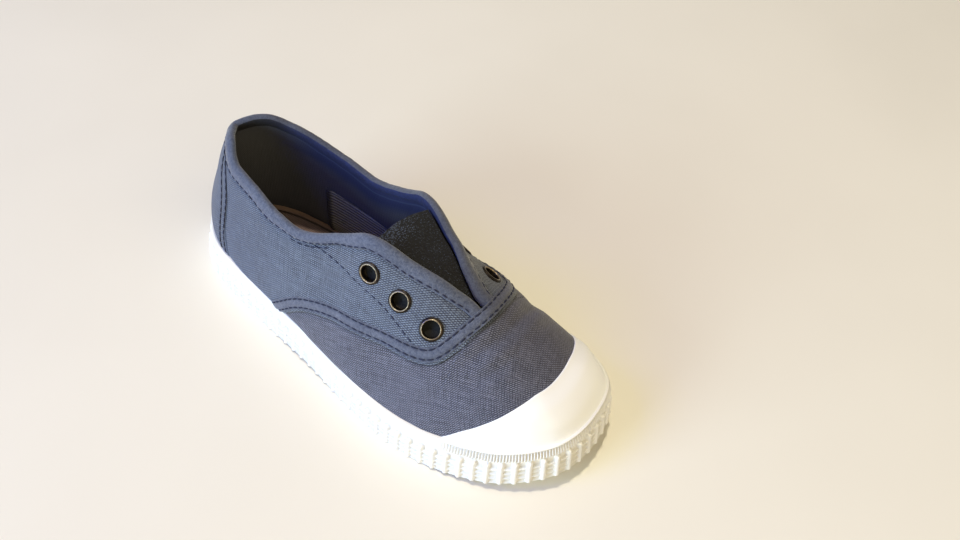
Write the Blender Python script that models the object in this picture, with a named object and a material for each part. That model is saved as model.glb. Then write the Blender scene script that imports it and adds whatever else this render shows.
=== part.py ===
"""A laceless canvas plimsoll for a child's right foot, built as an assembly of separate pieces.

The shoe stands on Z = 0, its toe towards -Y and its outer (lateral) side towards -X. Every piece comes
from one last: the sole's outline, a ridge over the middle, and a wall profile that rises from the outline
to the ridge. A place on the last is a turn (0 at the heel's middle, rising round the lateral side) and a
share (0 at the foot of the wall, 1 on the ridge). Sizes are millimetres until new_object() makes metres.
"""
import math

import bmesh
import bpy
import numpy as np
from mathutils import Matrix, Vector

MM = 0.001
GAP = 0.3

# ---- the last ------------------------------------------------------------------------------------------

LENGTH = 184.0

# The sole's outline at the feet of its ribs: (along from the heel, across towards the lateral side).
OUTLINE = (
    (3.4, 1.5), (10.8, 12.8), (22.5, 20.7), (38.0, 24.7), (80.0, 30.3), (129.0, 37.0), (162.0, 29.5),
    (179.5, 15.0), (184.0, -1.5), (179.0, -21.5), (162.0, -32.0), (127.0, -36.0), (81.0, -29.0),
    (38.0, -24.8), (22.5, -20.6), (10.8, -12.3),
)
# The ridge: (along, height, across). Behind the throat it runs above the opening.
RIDGE = (
    (37.0, 74.0, -2.5), (69.0, 91.0, -1.8), (97.0, 95.0, -1.2), (117.0, 64.5, -0.7),
    (135.0, 46.0, -0.3), (153.0, 37.5, 0.0),
)
# The wall: (along, roundness at the top, lean at the bottom, belly).
PROFILE = (
    (3.4, 0.94, 0.90, -0.4), (52.0, 0.67, 1.50, 1.6), (97.0, 1.44, 1.70, 0.5), (135.0, 0.85, 1.47, 1.5),
    (184.0, 0.45, 1.07, 2.0),
)
# The canvas edge at the collar and throat: (along, share).
TOPLINE = (
    (0.0, 0.662), (26.0, 0.685), (52.0, 0.527), (72.0, 0.463), (90.0, 0.512), (100.0, 0.562),
    (118.0, 0.757), (128.0, 0.895), (138.0, 0.962),
)
THROAT_TIP = TOPLINE[-1][0]
THROAT_ROUNDING = 3.0
BELLY_FROM, BELLY_TO = 0.13, 0.78
FOOT_HEIGHT = 8.3
FOOT_INSET = 5.5
SPRING_FROM = 132.0
TOE_SPRING = 6.5

COLLAR_PEAK = 100.0
REAR_ROWS, THROAT_ROWS, HEEL_SPOKES, TOE_SPOKES = 10, 9, 13, 20

LATERAL, MEDIAL = 0, 1


def smooth_rows(x, rows, column):
    """A smooth curve through one column of a table, with no overshoot between its rows."""
    table = np.array(rows)
    xs, ys = table[:, 0], table[:, column]
    gap = np.diff(xs)
    rise = np.diff(ys) / gap
    before, after = 2 * gap[1:] + gap[:-1], gap[1:] + 2 * gap[:-1]
    same_way = rise[:-1] * rise[1:] > 0
    safe = np.where(same_way, rise[:-1], 1.0), np.where(same_way, rise[1:], 1.0)
    middle = np.where(same_way, (before + after) / (before / safe[0] + after / safe[1]), 0.0)
    slope = np.concatenate([rise[:1], middle, rise[-1:]])
    x = np.clip(x, xs[0], xs[-1])
    i = np.clip(np.searchsorted(xs, x) - 1, 0, len(gap) - 1)
    t = (x - xs[i]) / gap[i]
    return (
        (2 * t**3 - 3 * t**2 + 1) * ys[i]
        + (t**3 - 2 * t**2 + t) * gap[i] * slope[i]
        + (3 * t**2 - 2 * t**3) * ys[i + 1]
        + (t**3 - t**2) * gap[i] * slope[i + 1]
    )


def closed_curve(points, steps=60):
    """A smooth closed curve through the points, returned as evenly spaced points and its length."""
    p = np.array(points)
    ahead, behind = np.roll(p, -1, 0), np.roll(p, 1, 0)
    step = np.linalg.norm(ahead - p, axis=1)[:, None]
    tangent = (ahead - behind) / (step + np.roll(step, 1, 0))
    t = np.arange(steps)[:, None, None] / steps
    spans = (
        (2 * t**3 - 3 * t**2 + 1) * p
        + (t**3 - 2 * t**2 + t) * step * tangent
        + (3 * t**2 - 2 * t**3) * ahead
        + (t**3 - t**2) * step * np.roll(tangent, -1, 0)
    )
    dense = np.vstack([spans.transpose(1, 0, 2).reshape(-1, 2), p[:1]])
    arc = np.concatenate([[0.0], np.cumsum(np.linalg.norm(np.diff(dense, axis=0), axis=1))])
    even = np.linspace(0.0, arc[-1], len(dense))
    return np.stack([np.interp(even, arc, dense[:, i]) for i in (0, 1)], axis=-1)[:-1], arc[-1]


def outward_normals(loop):
    tangent = np.roll(loop, -1, 0) - np.roll(loop, 1, 0)
    tangent /= np.linalg.norm(tangent, axis=1)[:, None]
    return np.stack([-tangent[:, 1], tangent[:, 0]], axis=-1)


OUTLINE_LOOP, OUTLINE_LENGTH = closed_curve(OUTLINE)
OUTLINE_NORMALS = outward_normals(OUTLINE_LOOP)
CENTRE_ALONG, CENTRE_ACROSS = (OUTLINE_LOOP.max(axis=0) + OUTLINE_LOOP.min(axis=0)) / 2


def ring(turn, inset):
    """(along, across) on the outline at these turns, moved inwards by inset."""
    loop = OUTLINE_LOOP - OUTLINE_NORMALS * inset
    loop = np.vstack([loop, loop[:1]])
    at = np.mod(turn, 1.0) * len(OUTLINE_LOOP)
    return np.stack([np.interp(at, np.arange(len(loop)), loop[:, i]) for i in (0, 1)], axis=-1)


def turn_at(along, side):
    """The turn whose wall foot lies at this distance from the heel, on one side of the shoe."""
    turns = np.linspace(0.0, 1.0, 2001)
    reach = ring(turns, FOOT_INSET)[:, 0]
    toe = int(np.argmax(reach))
    heel = int(np.argmin(np.where(turns < 0.5, reach, np.inf)))
    if side == LATERAL:
        return np.interp(along, reach[heel:toe], turns[heel:toe])
    return np.interp(along, reach[:toe:-1], turns[:toe:-1])


def toe_rise(along):
    """How far the toe spring lifts the sole here."""
    return TOE_SPRING * np.clip((along - SPRING_FROM) / (LENGTH - SPRING_FROM), 0.0, None) ** 2


def to_world(along, across, height):
    return np.stack([CENTRE_ACROSS - across, CENTRE_ALONG - along, height], axis=-1)


def last_point(turn, share):
    """The upper's outer surface."""
    turn, share = np.broadcast_arrays(np.asarray(turn, float), np.asarray(share, float))
    foot = ring(turn, FOOT_INSET)
    along, across = foot[..., 0], foot[..., 1]
    top_along = np.clip(along, RIDGE[0][0], RIDGE[-1][0])
    to_ridge = np.stack([top_along - along, smooth_rows(top_along, RIDGE, 2) - across], axis=-1)
    reach = np.linalg.norm(to_ridge, axis=-1)
    half_step = 0.5
    low = np.clip(top_along - half_step, RIDGE[0][0], RIDGE[-1][0] - 2 * half_step)
    ridge_slope = smooth_rows(low + 2 * half_step, RIDGE, 1) - smooth_rows(low, RIDGE, 1)
    fall = ridge_slope * to_ridge[..., 0] / reach
    foot_height = FOOT_HEIGHT + toe_rise(along)
    climb = smooth_rows(top_along, RIDGE, 1) - foot_height
    roundness, lean, belly = (smooth_rows(along, PROFILE, column) for column in (1, 2, 3))
    inward = 1.0 - np.clip(np.cos(share * math.pi / 2), 0.0, None) ** roundness
    upward = np.sin(share * math.pi / 2) ** lean
    in_belly = np.clip((share - BELLY_FROM) / (BELLY_TO - BELLY_FROM), 0.0, 1.0)
    travel = (reach * inward - belly * np.sin(math.pi * in_belly) ** 2) / reach
    height = foot_height + (climb - fall * reach) * upward + fall * reach * inward
    return to_world(along + to_ridge[..., 0] * travel, across + to_ridge[..., 1] * travel, height)


def last_normal(turn, share):
    """The unit normal of the upper's outer surface, pointing out of the shoe."""
    small_turn, small_share = 0.0006, 0.004
    round_way = last_point(turn + small_turn, share) - last_point(turn - small_turn, share)
    top = np.minimum(share + small_share, 1.0)
    up_way = last_point(turn, top) - last_point(turn, top - 2 * small_share)
    normal = np.cross(round_way, up_way)
    return normal / np.linalg.norm(normal, axis=-1, keepdims=True)


def offset_point(turn, share, out):
    return last_point(turn, share) + last_normal(turn, share) * np.asarray(out)[..., None]


def topline_share(along):
    """The share at which the canvas ends: the collar, then a throat with a rounded tip."""
    behind_tip = np.clip(THROAT_TIP - along, 0.0, None)
    rounding = np.sqrt(1.0 - (THROAT_ROUNDING / (behind_tip + THROAT_ROUNDING)) ** 2)
    return 1.0 - (1.0 - smooth_rows(along, TOPLINE, 1)) * rounding


def share_where(turn, above):
    """The share, on each turn, at which the test above(point) turns true, found by halving."""
    low, high = np.zeros(len(turn)), np.ones(len(turn))
    for _ in range(24):
        middle = (low + high) / 2
        passed = above(last_point(turn, middle))
        high = np.where(passed, middle, high)
        low = np.where(passed, low, middle)
    return high


def heel_fan():
    """Turns round the heel, from the medial side to the lateral side."""
    start, end = turn_at(RIDGE[0][0], MEDIAL), turn_at(RIDGE[0][0], LATERAL) + 1.0
    return np.linspace(start, end, HEEL_SPOKES + 2)[1:-1]


def toe_fan():
    """Turns round the toe, from the lateral side to the medial side."""
    start, end = turn_at(RIDGE[-1][0], LATERAL), turn_at(RIDGE[-1][0], MEDIAL)
    return np.linspace(start, end, TOE_SPOKES + 2)[1:-1]


def collar_rows():
    """Distances from the heel for paired rows, closer together near the throat's tip."""
    rear = np.linspace(RIDGE[0][0], COLLAR_PEAK, REAR_ROWS)
    closing = np.arange(1, THROAT_ROWS + 1) / THROAT_ROWS
    return np.concatenate([rear, THROAT_TIP - (THROAT_TIP - COLLAR_PEAK) * (1.0 - closing) ** 2])


# ---- meshes --------------------------------------------------------------------------------------------


def principled(name, colour, roughness, metallic=0.0):
    material = bpy.data.materials.new(name)
    material.use_nodes = True
    shader = material.node_tree.nodes["Principled BSDF"]
    shader.inputs["Base Color"].default_value = (*colour, 1.0)
    shader.inputs["Roughness"].default_value = roughness
    shader.inputs["Metallic"].default_value = metallic
    material.diffuse_color = (*colour, 1.0)
    return material


def new_object(name, bm, material, parent, smooth=True):
    """An object from a bmesh in millimetres."""
    bmesh.ops.scale(bm, vec=(MM, MM, MM), verts=bm.verts)
    mesh = bpy.data.meshes.new(name)
    bm.to_mesh(mesh)
    bm.free()
    if smooth:
        mesh.shade_smooth()
    obj = bpy.data.objects.new(name, mesh)
    bpy.context.scene.collection.objects.link(obj)
    obj.parent = parent
    if material:
        mesh.materials.append(material)
    return obj


def grid_sheet(points, closed=False):
    """A bmesh of quads over points[column, row], wrapped round the columns if closed."""
    bm = bmesh.new()
    columns, rows = points.shape[:2]
    verts = [[bm.verts.new(point) for point in column] for column in points]
    for i in range(columns if closed else columns - 1):
        j = (i + 1) % columns
        for k in range(rows - 1):
            bm.faces.new((verts[i][k], verts[j][k], verts[j][k + 1], verts[i][k + 1]))
    bmesh.ops.remove_doubles(bm, verts=bm.verts, dist=0.05)
    bmesh.ops.dissolve_degenerate(bm, edges=bm.edges, dist=0.01)
    return bm


def grid_shell(outer, inner):
    """A closed bmesh between two sheets of points[column, row]; columns of no height close to a point."""
    bm = bmesh.new()
    columns, rows = outer.shape[:2]
    out, back = ([[bm.verts.new(point) for point in column] for column in sheet] for sheet in (outer, inner))
    for i in range(columns - 1):
        for k in range(rows - 1):
            bm.faces.new((out[i][k], out[i + 1][k], out[i + 1][k + 1], out[i][k + 1]))
            bm.faces.new((back[i][k], back[i][k + 1], back[i + 1][k + 1], back[i + 1][k]))
    border = [(i, 0) for i in range(columns)]
    border += [(columns - 1, k) for k in range(1, rows)]
    border += [(i, rows - 1) for i in range(columns - 2, -1, -1)]
    border += [(0, k) for k in range(rows - 2, 0, -1)]
    for (i, k), (m, n) in zip(border, border[1:] + border[:1]):
        bm.faces.new((out[i][k], back[i][k], back[m][n], out[m][n]))
    bmesh.ops.remove_doubles(bm, verts=bm.verts, dist=0.02)
    return bm


def thicken(obj, wall):
    """Gives a sheet a wall on the inner side of its faces."""
    solidify = obj.modifiers.new("wall", "SOLIDIFY")
    solidify.thickness = wall * MM
    solidify.offset = -1.0
    solidify.use_even_offset = True
    solidify.use_quality_normals = True


# ---- outsole -------------------------------------------------------------------------------------------

RIB_COUNT = 92
RIB_WIDTH = 1.7
RIB_PROUD = 1.1
RIB_SHOULDER = 0.8
CUP_FLOOR = FOOT_HEIGHT - GAP
CUP_INSET = FOOT_INSET - GAP
# The foxing wall in section, from the ground up and down into the cup: (inset, height).
FOXING = (
    (RIB_PROUD, 0.0), (2.4, 10.4), (3.1, 14.3), (3.8, 15.0), (4.6, 15.0), (CUP_INSET, 14.4),
    (CUP_INSET, CUP_FLOOR),
)
ARCH_FROM, ARCH_TO, ARCH_RISE = 52.0, 108.0, 0.7
TREAD_INSET = 9.0
TREAD_DEPTH = 1.2
TREAD_EVERY = 3
HEEL_TREAD = (12.0, 48.0)
FOREFOOT_TREAD = (108.0, 168.0)


def arch(along):
    """How far the waist of the sole stands clear of the ground."""
    share = np.clip((along - ARCH_FROM) / (ARCH_TO - ARCH_FROM), 0.0, 1.0)
    return ARCH_RISE * np.sin(math.pi * share) ** 2


def sole_loop(bm, turns, inset, height):
    place = ring(turns, inset)
    along = place[:, 0]
    lift = toe_rise(along) + (arch(along) if height == 0.0 else 0.0)
    return [bm.verts.new(point) for point in to_world(along, place[:, 1], height + lift)]


def wall_faces(bm, lower, upper):
    count = len(lower)
    return [
        bm.faces.new((lower[i], lower[(i + 1) % count], upper[(i + 1) % count], upper[i]))
        for i in range(count)
    ]


def make_outsole(material, parent):
    """A cup: foxing wall with ribs outside, floor inside, and grooves across the tread."""
    bm = bmesh.new()
    half_rib = RIB_WIDTH / 2 / OUTLINE_LENGTH
    middles = np.arange(RIB_COUNT) / RIB_COUNT
    turns = np.stack([middles + half_rib, middles + 1 / RIB_COUNT - half_rib], axis=-1).ravel()
    loops = [sole_loop(bm, turns, inset, height) for inset, height in FOXING]
    walls = [wall_faces(bm, lower, upper) for lower, upper in zip(loops, loops[1:])]

    last = len(turns) - 1
    floor = loops[-1]
    for i in range(len(turns) // 2 - 1):
        bm.faces.new((floor[i], floor[last - i], floor[last - i - 1], floor[i + 1]))

    tread = sole_loop(bm, turns, TREAD_INSET, 0.0)
    edge = loops[0]
    grooves = []
    for i in range(len(turns)):
        j = (i + 1) % len(turns)
        bm.faces.new((edge[i], edge[j], tread[j], tread[i]))
    for i in range(len(turns) // 2 - 1):
        face = bm.faces.new((tread[i], tread[i + 1], tread[last - i - 1], tread[last - i]))
        along = ring(turns[i], TREAD_INSET)[0]
        under_rib = i % 2 == 1 and (i // 2) % TREAD_EVERY == 0
        if under_rib and any(start < along < end for start, end in (HEEL_TREAD, FOREFOOT_TREAD)):
            grooves.append(face)
    cut = bmesh.ops.extrude_discrete_faces(bm, faces=grooves)["faces"]
    for face in cut:
        bmesh.ops.translate(bm, vec=(0.0, 0.0, TREAD_DEPTH), verts=face.verts)

    bm.normal_update()
    ribs = bmesh.ops.extrude_discrete_faces(bm, faces=walls[0][1::2])["faces"]
    for face in ribs:
        out = Vector((face.normal.x, face.normal.y, 0.0)).normalized() * RIB_PROUD
        bmesh.ops.translate(bm, vec=out, verts=face.verts)
        for vert in sorted(face.verts, key=lambda v: v.co.z)[2:]:
            vert.co.z -= RIB_SHOULDER
    bmesh.ops.recalc_face_normals(bm, faces=bm.faces)
    return new_object("outsole", bm, material, parent, smooth=False)


# ---- upper ---------------------------------------------------------------------------------------------

UPPER_WALL = 1.6
WALL_LEVELS, EDGE_CROWDING = 8, 1.5
VAMP_ROWS = (142.5, 147.5, RIDGE[-1][0])
# Eyelet centres on the last, the same on both sides: (along, share).
EYELETS = ((104.5, 0.508), (116.6, 0.594), (129.0, 0.676))
EYELET_HOLE = 3.15
HOLE_SIDES = 20


def eyelet_frame(along, share, side):
    """A matrix in millimetres with its origin on the canvas and its Z axis out of the shoe."""
    turn = float(turn_at(along, side))
    normal = Vector(last_normal(turn, share))
    matrix = normal.to_track_quat("Z", "Y").to_matrix().to_4x4()
    return Matrix.Translation(last_point(turn, share)) @ matrix


def make_upper(material, parent):
    """The canvas shell: a sheet over the last, thickened inwards and punched for the eyelets."""
    rows = np.concatenate([collar_rows(), VAMP_ROWS])
    lateral, medial = turn_at(rows, LATERAL), turn_at(rows, MEDIAL)
    turns = np.concatenate([lateral, toe_fan(), medial[::-1], heel_fan()])
    top = topline_share(ring(turns, FOOT_INSET)[:, 0])
    level = 1.0 - np.linspace(1.0, 0.0, WALL_LEVELS + 1) ** EDGE_CROWDING
    upper = new_object(
        "upper", grid_sheet(last_point(turns[:, None], top[:, None] * level), closed=True), material, parent
    )
    thicken(upper, UPPER_WALL)

    punches = bmesh.new()
    for side in (LATERAL, MEDIAL):
        for along, share in EYELETS:
            bmesh.ops.create_cone(
                punches, cap_ends=True, segments=HOLE_SIDES, radius1=EYELET_HOLE, radius2=EYELET_HOLE,
                depth=8.0, matrix=eyelet_frame(along, share, side),
            )
    cutter = new_object("eyelet_punches", punches, None, parent, smooth=False)
    cutter.hide_render = True
    cutter.display_type = "WIRE"
    holes = upper.modifiers.new("eyelet holes", "BOOLEAN")
    holes.operation = "DIFFERENCE"
    holes.solver = "EXACT"
    holes.object = cutter
    return upper


# ---- toe cap -------------------------------------------------------------------------------------------

CAP_WALL = 1.5
CAP_SPOKES, CAP_LEVELS = 41, 6
# The cap's rear edge: (along, share).
CAP_EDGE = (
    (140.0, 0.05), (143.0, 0.11), (150.0, 0.26), (157.0, 0.43), (163.0, 0.57), (170.0, 0.70),
    (178.0, 0.82), (184.0, 0.86),
)


def above_foxing(point):
    along = CENTRE_ALONG - point[..., 1]
    return point[..., 2] > FOXING[3][1] + toe_rise(along) + GAP


def cap_edge_share(turn):
    return smooth_rows(ring(turn, FOOT_INSET)[:, 0], CAP_EDGE, 1)


def make_toe_cap(material, parent):
    """The band of the last between the foxing's top and the cap's rear edge, standing off the canvas."""
    around = np.linspace(turn_at(CAP_EDGE[0][0], LATERAL), turn_at(CAP_EDGE[0][0], MEDIAL), 400)
    stands = around[cap_edge_share(around) > share_where(around, above_foxing)]
    turns = np.linspace(stands[0], stands[-1], CAP_SPOKES)
    low, high = share_where(turns, above_foxing), cap_edge_share(turns)
    level = np.linspace(0.0, 1.0, CAP_LEVELS + 1)
    share = low[:, None] + (high - low)[:, None] * level
    sheets = [offset_point(turns[:, None], share, np.full(share.shape, out)) for out in (GAP + CAP_WALL, GAP)]
    return new_object("toe_cap", grid_shell(*sheets), material, parent)


# ---- collar binding ------------------------------------------------------------------------------------

BINDING_LEG = 2.3
BINDING_HALF_WIDTH = 1.9
BINDING_ROLL = 2.0
BINDING_ARC = 5


def binding_section():
    """The folded binding in section, as (outwards, towards the opening) from the canvas's outer edge."""
    middle = -UPPER_WALL / 2
    slot = UPPER_WALL / 2 + GAP
    roll = [
        (middle + BINDING_HALF_WIDTH * math.cos(angle), BINDING_ROLL * math.sin(angle))
        for angle in np.linspace(0.0, math.pi, BINDING_ARC + 1)
    ]
    outer_foot = (middle + BINDING_HALF_WIDTH - 0.1, -BINDING_LEG)
    inner_foot = (middle - BINDING_HALF_WIDTH + 0.1, -BINDING_LEG)
    slot_inside = [(middle - slot, -BINDING_LEG), (middle - slot, GAP)]
    slot_outside = [(middle + slot, GAP), (middle + slot, -BINDING_LEG)]
    return np.array([outer_foot, *roll, inner_foot, *slot_inside, *slot_outside])


def collar_path():
    """Turns and shares along the canvas edge, from the throat's tip round the heel and back."""
    rows = collar_rows()
    lateral, medial = turn_at(rows, LATERAL), turn_at(rows, MEDIAL)
    turns = np.concatenate([lateral[::-1], heel_fan()[::-1], medial[:-1]])
    return turns, topline_share(ring(turns, FOOT_INSET)[:, 0])


def edge_frames(turns, shares):
    """Point, outward normal and direction towards the opening, at each place on a closed edge path."""
    point = last_point(turns, shares)
    normal = last_normal(turns, shares)
    ahead = np.roll(point, -1, 0) - np.roll(point, 1, 0)
    ahead /= np.linalg.norm(ahead, axis=1)[:, None]
    opening = np.cross(ahead, normal)
    return point, normal, opening / np.linalg.norm(opening, axis=1)[:, None]


def make_collar_binding(material, parent):
    point, normal, opening = edge_frames(*collar_path())
    section = binding_section()
    section = np.vstack([section, section[:1]])
    rings = (
        point[:, None]
        + normal[:, None] * section[None, :, :1]
        + opening[:, None] * section[None, :, 1:]
    )
    bm = grid_sheet(rings, closed=True)
    bmesh.ops.recalc_face_normals(bm, faces=bm.faces)
    return new_object("collar_binding", bm, material, parent)


# ---- elastic gusset ------------------------------------------------------------------------------------

GUSSET_WALL = 1.2
GUSSET_DEPTH = 3.6
GUSSET_REAR, GUSSET_FRONT, GUSSET_ROWS = 95.0, 145.0, 12
GUSSET_TUCK = 0.09
GUSSET_LEAST_SPAN = 0.07
GUSSET_BOW = 1.0


def make_elastic_gusset(material, parent):
    """Elastic held flat across the throat, its sides tucked under the eyestays."""
    rows = np.linspace(GUSSET_REAR, GUSSET_FRONT, GUSSET_ROWS)
    edge = np.minimum(topline_share(rows), 1.0 - GUSSET_LEAST_SPAN)
    across = np.linspace(0.0, 1.0, 5)[1:-1]
    sheets = []
    for depth in (GUSSET_DEPTH, GUSSET_DEPTH + GUSSET_WALL):
        medial, lateral = (
            [
                offset_point(turn_at(rows, side), edge - tuck, np.full(len(rows), -depth))
                for tuck in (GUSSET_TUCK, GUSSET_TUCK / 2, 0.0)
            ]
            for side in (MEDIAL, LATERAL)
        )
        rise = [np.array([0.0, 0.0, GUSSET_BOW * math.sin(math.pi * share)]) for share in across]
        span = [medial[-1] + (lateral[-1] - medial[-1]) * share + up for share, up in zip(across, rise)]
        sheets.append(np.stack([*medial, *span, *lateral[::-1]]))
    return new_object("elastic_gusset", grid_shell(*sheets), material, parent)


# ---- insole --------------------------------------------------------------------------------------------

INSOLE_INSET = FOOT_INSET + UPPER_WALL + 0.7
INSOLE_THICKNESS = 3.0
INSOLE_STATIONS = 72


def make_insole(material, parent):
    """A flat sock with a rounded upper edge, lying on the cup's floor."""
    bm = bmesh.new()
    turns = (np.arange(INSOLE_STATIONS) + 0.5) / INSOLE_STATIONS
    bottom = CUP_FLOOR + GAP
    section = (
        (INSOLE_INSET, bottom), (INSOLE_INSET, bottom + 2.2),
        (INSOLE_INSET + 1.2, bottom + INSOLE_THICKNESS),
    )
    loops = [sole_loop(bm, turns, inset, height) for inset, height in section]
    for lower, upper in zip(loops, loops[1:]):
        wall_faces(bm, lower, upper)
    last = INSOLE_STATIONS - 1
    for loop in (loops[0], loops[-1]):
        for i in range(INSOLE_STATIONS // 2 - 1):
            bm.faces.new((loop[i], loop[last - i], loop[last - i - 1], loop[i + 1]))
    bmesh.ops.recalc_face_normals(bm, faces=bm.faces)
    return new_object("insole", bm, material, parent)


# ---- eyelets -------------------------------------------------------------------------------------------

EYELET_SIDES = 20
# Half the eyelet in section: (radius, height above the canvas).
EYELET_SECTION = (
    (2.45, -2.2), (2.85, -2.2), (2.85, 0.35), (4.0, 0.35), (3.9, 0.85), (3.2, 1.25), (2.45, 0.75),
)


def make_eyelet(name, matrix, material, parent):
    """A flanged tube through the canvas, turned about its own axis."""
    bm = bmesh.new()
    angles = np.arange(EYELET_SIDES) * 2 * math.pi / EYELET_SIDES
    loops = [
        [bm.verts.new((radius * math.cos(a), radius * math.sin(a), height)) for a in angles]
        for radius, height in EYELET_SECTION
    ]
    for lower, upper in zip(loops, loops[1:] + loops[:1]):
        wall_faces(bm, lower, upper)
    bmesh.ops.recalc_face_normals(bm, faces=bm.faces)
    eyelet = new_object(name, bm, material, parent)
    matrix.translation *= MM
    eyelet.matrix_local = matrix
    return eyelet


# ---- assembly ------------------------------------------------------------------------------------------


def main():
    for obj in list(bpy.data.objects):
        bpy.data.objects.remove(obj)
    shoe = bpy.data.objects.new("shoe", None)
    bpy.context.scene.collection.objects.link(shoe)

    rubber = principled("white_rubber", (0.80, 0.78, 0.72), 0.45)
    canvas = principled("navy_canvas", (0.060, 0.085, 0.150), 0.85)
    binding = principled("navy_binding", (0.050, 0.070, 0.125), 0.80)
    elastic = principled("black_elastic", (0.012, 0.012, 0.016), 0.75)
    sock = principled("brown_sock", (0.160, 0.070, 0.035), 0.80)
    brass = principled("aged_brass", (0.330, 0.270, 0.190), 0.35, metallic=1.0)

    make_outsole(rubber, shoe)
    make_upper(canvas, shoe)
    make_toe_cap(rubber, shoe)
    make_collar_binding(binding, shoe)
    make_elastic_gusset(elastic, shoe)
    make_insole(sock, shoe)
    for side, word in ((LATERAL, "lateral"), (MEDIAL, "medial")):
        for number, (along, share) in enumerate(EYELETS, start=1):
            make_eyelet(f"eyelet_{word}_{number}", eyelet_frame(along, share, side), brass, shoe)


main()
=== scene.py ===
"""Looks of a laceless canvas plimsoll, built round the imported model.

Sizes are millimetres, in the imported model's frame, until new_piece() makes metres. A place on the upper is a
turn and a share: how far round the sole's outline it is, from 0 at the heel by the lateral side to 1, and how
far up from the wall's foot to the ridge. The last is that of the part's source, with the heel's bend, the
collar and the canvas over the foxing drawn closer to the real shoe.
"""

import math

import bmesh
import bpy
import numpy as np
from mathutils import Matrix, Vector
from mathutils.kdtree import KDTree


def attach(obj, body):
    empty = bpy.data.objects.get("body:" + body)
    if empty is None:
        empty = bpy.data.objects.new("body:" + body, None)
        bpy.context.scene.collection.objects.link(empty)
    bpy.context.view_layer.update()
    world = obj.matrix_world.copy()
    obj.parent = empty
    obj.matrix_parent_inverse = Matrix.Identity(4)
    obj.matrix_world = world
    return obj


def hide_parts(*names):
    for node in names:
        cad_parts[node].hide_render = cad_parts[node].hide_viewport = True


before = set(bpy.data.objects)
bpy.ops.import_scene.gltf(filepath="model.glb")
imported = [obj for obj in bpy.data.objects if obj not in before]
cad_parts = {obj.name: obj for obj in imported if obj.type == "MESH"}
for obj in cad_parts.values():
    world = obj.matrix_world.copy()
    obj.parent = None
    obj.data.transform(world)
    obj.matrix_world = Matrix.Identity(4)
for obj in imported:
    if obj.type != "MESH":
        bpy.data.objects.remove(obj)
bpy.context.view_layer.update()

MM = 0.001
LATERAL, MEDIAL = 0, 1
SIDES = ((LATERAL, "lateral"), (MEDIAL, "medial"))

# ---- curves and tables ----


def ease(x):
    """0 below 0, 1 above 1, and a smooth climb between."""
    x = np.clip(x, 0.0, 1.0)
    return x * x * (3 - 2 * x)


def window(x, start, rise, end, fall):
    """0 before start, easing up to 1 over rise, and back down to 0 over fall once past end."""
    return ease((x - start) / rise) * (1.0 - ease((x - end) / fall))


def groove(distance, width):
    return np.exp(-((distance / width) ** 2))


def unit(vectors):
    return vectors / np.maximum(np.linalg.norm(vectors, axis=-1, keepdims=True), 1e-9)


def joined(*parts):
    """The parts, broadcast together, side by side on a new last axis."""
    return np.stack(np.broadcast_arrays(*parts), axis=-1)


def read_columns(x, xs, table):
    """The columns of a table, each read at x."""
    return np.stack([np.interp(x, xs, column) for column in np.asarray(table).T], axis=-1)


def hermite(t, span, start, end, start_slope, end_slope):
    """A cubic over a span, through its two ends with these slopes."""
    return (
        (2 * t**3 - 3 * t**2 + 1) * start
        + (t**3 - 2 * t**2 + t) * span * start_slope
        + (3 * t**2 - 2 * t**3) * end
        + (t**3 - t**2) * span * end_slope
    )


def smooth_rows(x, rows, column=1):
    """A smooth curve through one column of a table, with no overshoot between its rows."""
    table = np.array(rows)
    xs, ys = table[:, 0], table[:, column]
    gap = np.diff(xs)
    rise = np.diff(ys) / gap
    before, after = 2 * gap[1:] + gap[:-1], gap[1:] + 2 * gap[:-1]
    same_way = rise[:-1] * rise[1:] > 0
    safe = np.where(same_way, rise[:-1], 1.0), np.where(same_way, rise[1:], 1.0)
    middle = np.where(same_way, (before + after) / (before / safe[0] + after / safe[1]), 0.0)
    slope = np.concatenate([rise[:1], middle, rise[-1:]])
    x = np.clip(x, xs[0], xs[-1])
    i = np.clip(np.searchsorted(xs, x) - 1, 0, len(gap) - 1)
    return hermite((x - xs[i]) / gap[i], gap[i], ys[i], ys[i + 1], slope[i], slope[i + 1])


def arc_length(path):
    return np.concatenate([[0.0], np.cumsum(np.linalg.norm(np.diff(path, axis=0), axis=1))])


def resample(path, step):
    arc = arc_length(path)
    even = np.linspace(0.0, arc[-1], max(2, int(round(arc[-1] / step)) + 1))
    return read_columns(even, arc, path)


def closed_curve(points, steps=60):
    """A smooth closed curve through the points, returned as evenly spaced points and its length."""
    p = np.array(points)
    ahead, behind = np.roll(p, -1, 0), np.roll(p, 1, 0)
    step = np.linalg.norm(ahead - p, axis=1)[:, None]
    slope = (ahead - behind) / (step + np.roll(step, 1, 0))
    t = np.arange(steps)[:, None, None] / steps
    spans = hermite(t, step, p, ahead, slope, np.roll(slope, -1, 0))
    dense = np.vstack([spans.transpose(1, 0, 2).reshape(-1, 2), p[:1]])
    arc = arc_length(dense)
    return read_columns(np.linspace(0.0, arc[-1], len(dense)), arc, dense)[:-1], arc[-1]


def open_curve(points):
    """A smooth open curve through points, evenly spaced."""
    p = np.asarray(points, float)
    gap = np.sqrt(np.linalg.norm(np.diff(p, axis=0), axis=1))
    slope = np.gradient(p, np.concatenate([[0.0], np.cumsum(gap)]), axis=0)
    t = np.linspace(0.0, 1.0, 40, endpoint=False)[:, None]
    spans = [hermite(t, gap[i], p[i], p[i + 1], slope[i], slope[i + 1]) for i in range(len(gap))]
    return resample(np.vstack([*spans, p[-1:]]), LINE_STEP)


def blurred(path, width):
    """Each point of the path averaged with its neighbours; width points go at either end."""
    kernel = np.hanning(2 * width + 1)
    kernel /= kernel.sum()
    return np.stack([np.convolve(column, kernel, mode="valid") for column in path.T], axis=-1)


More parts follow.
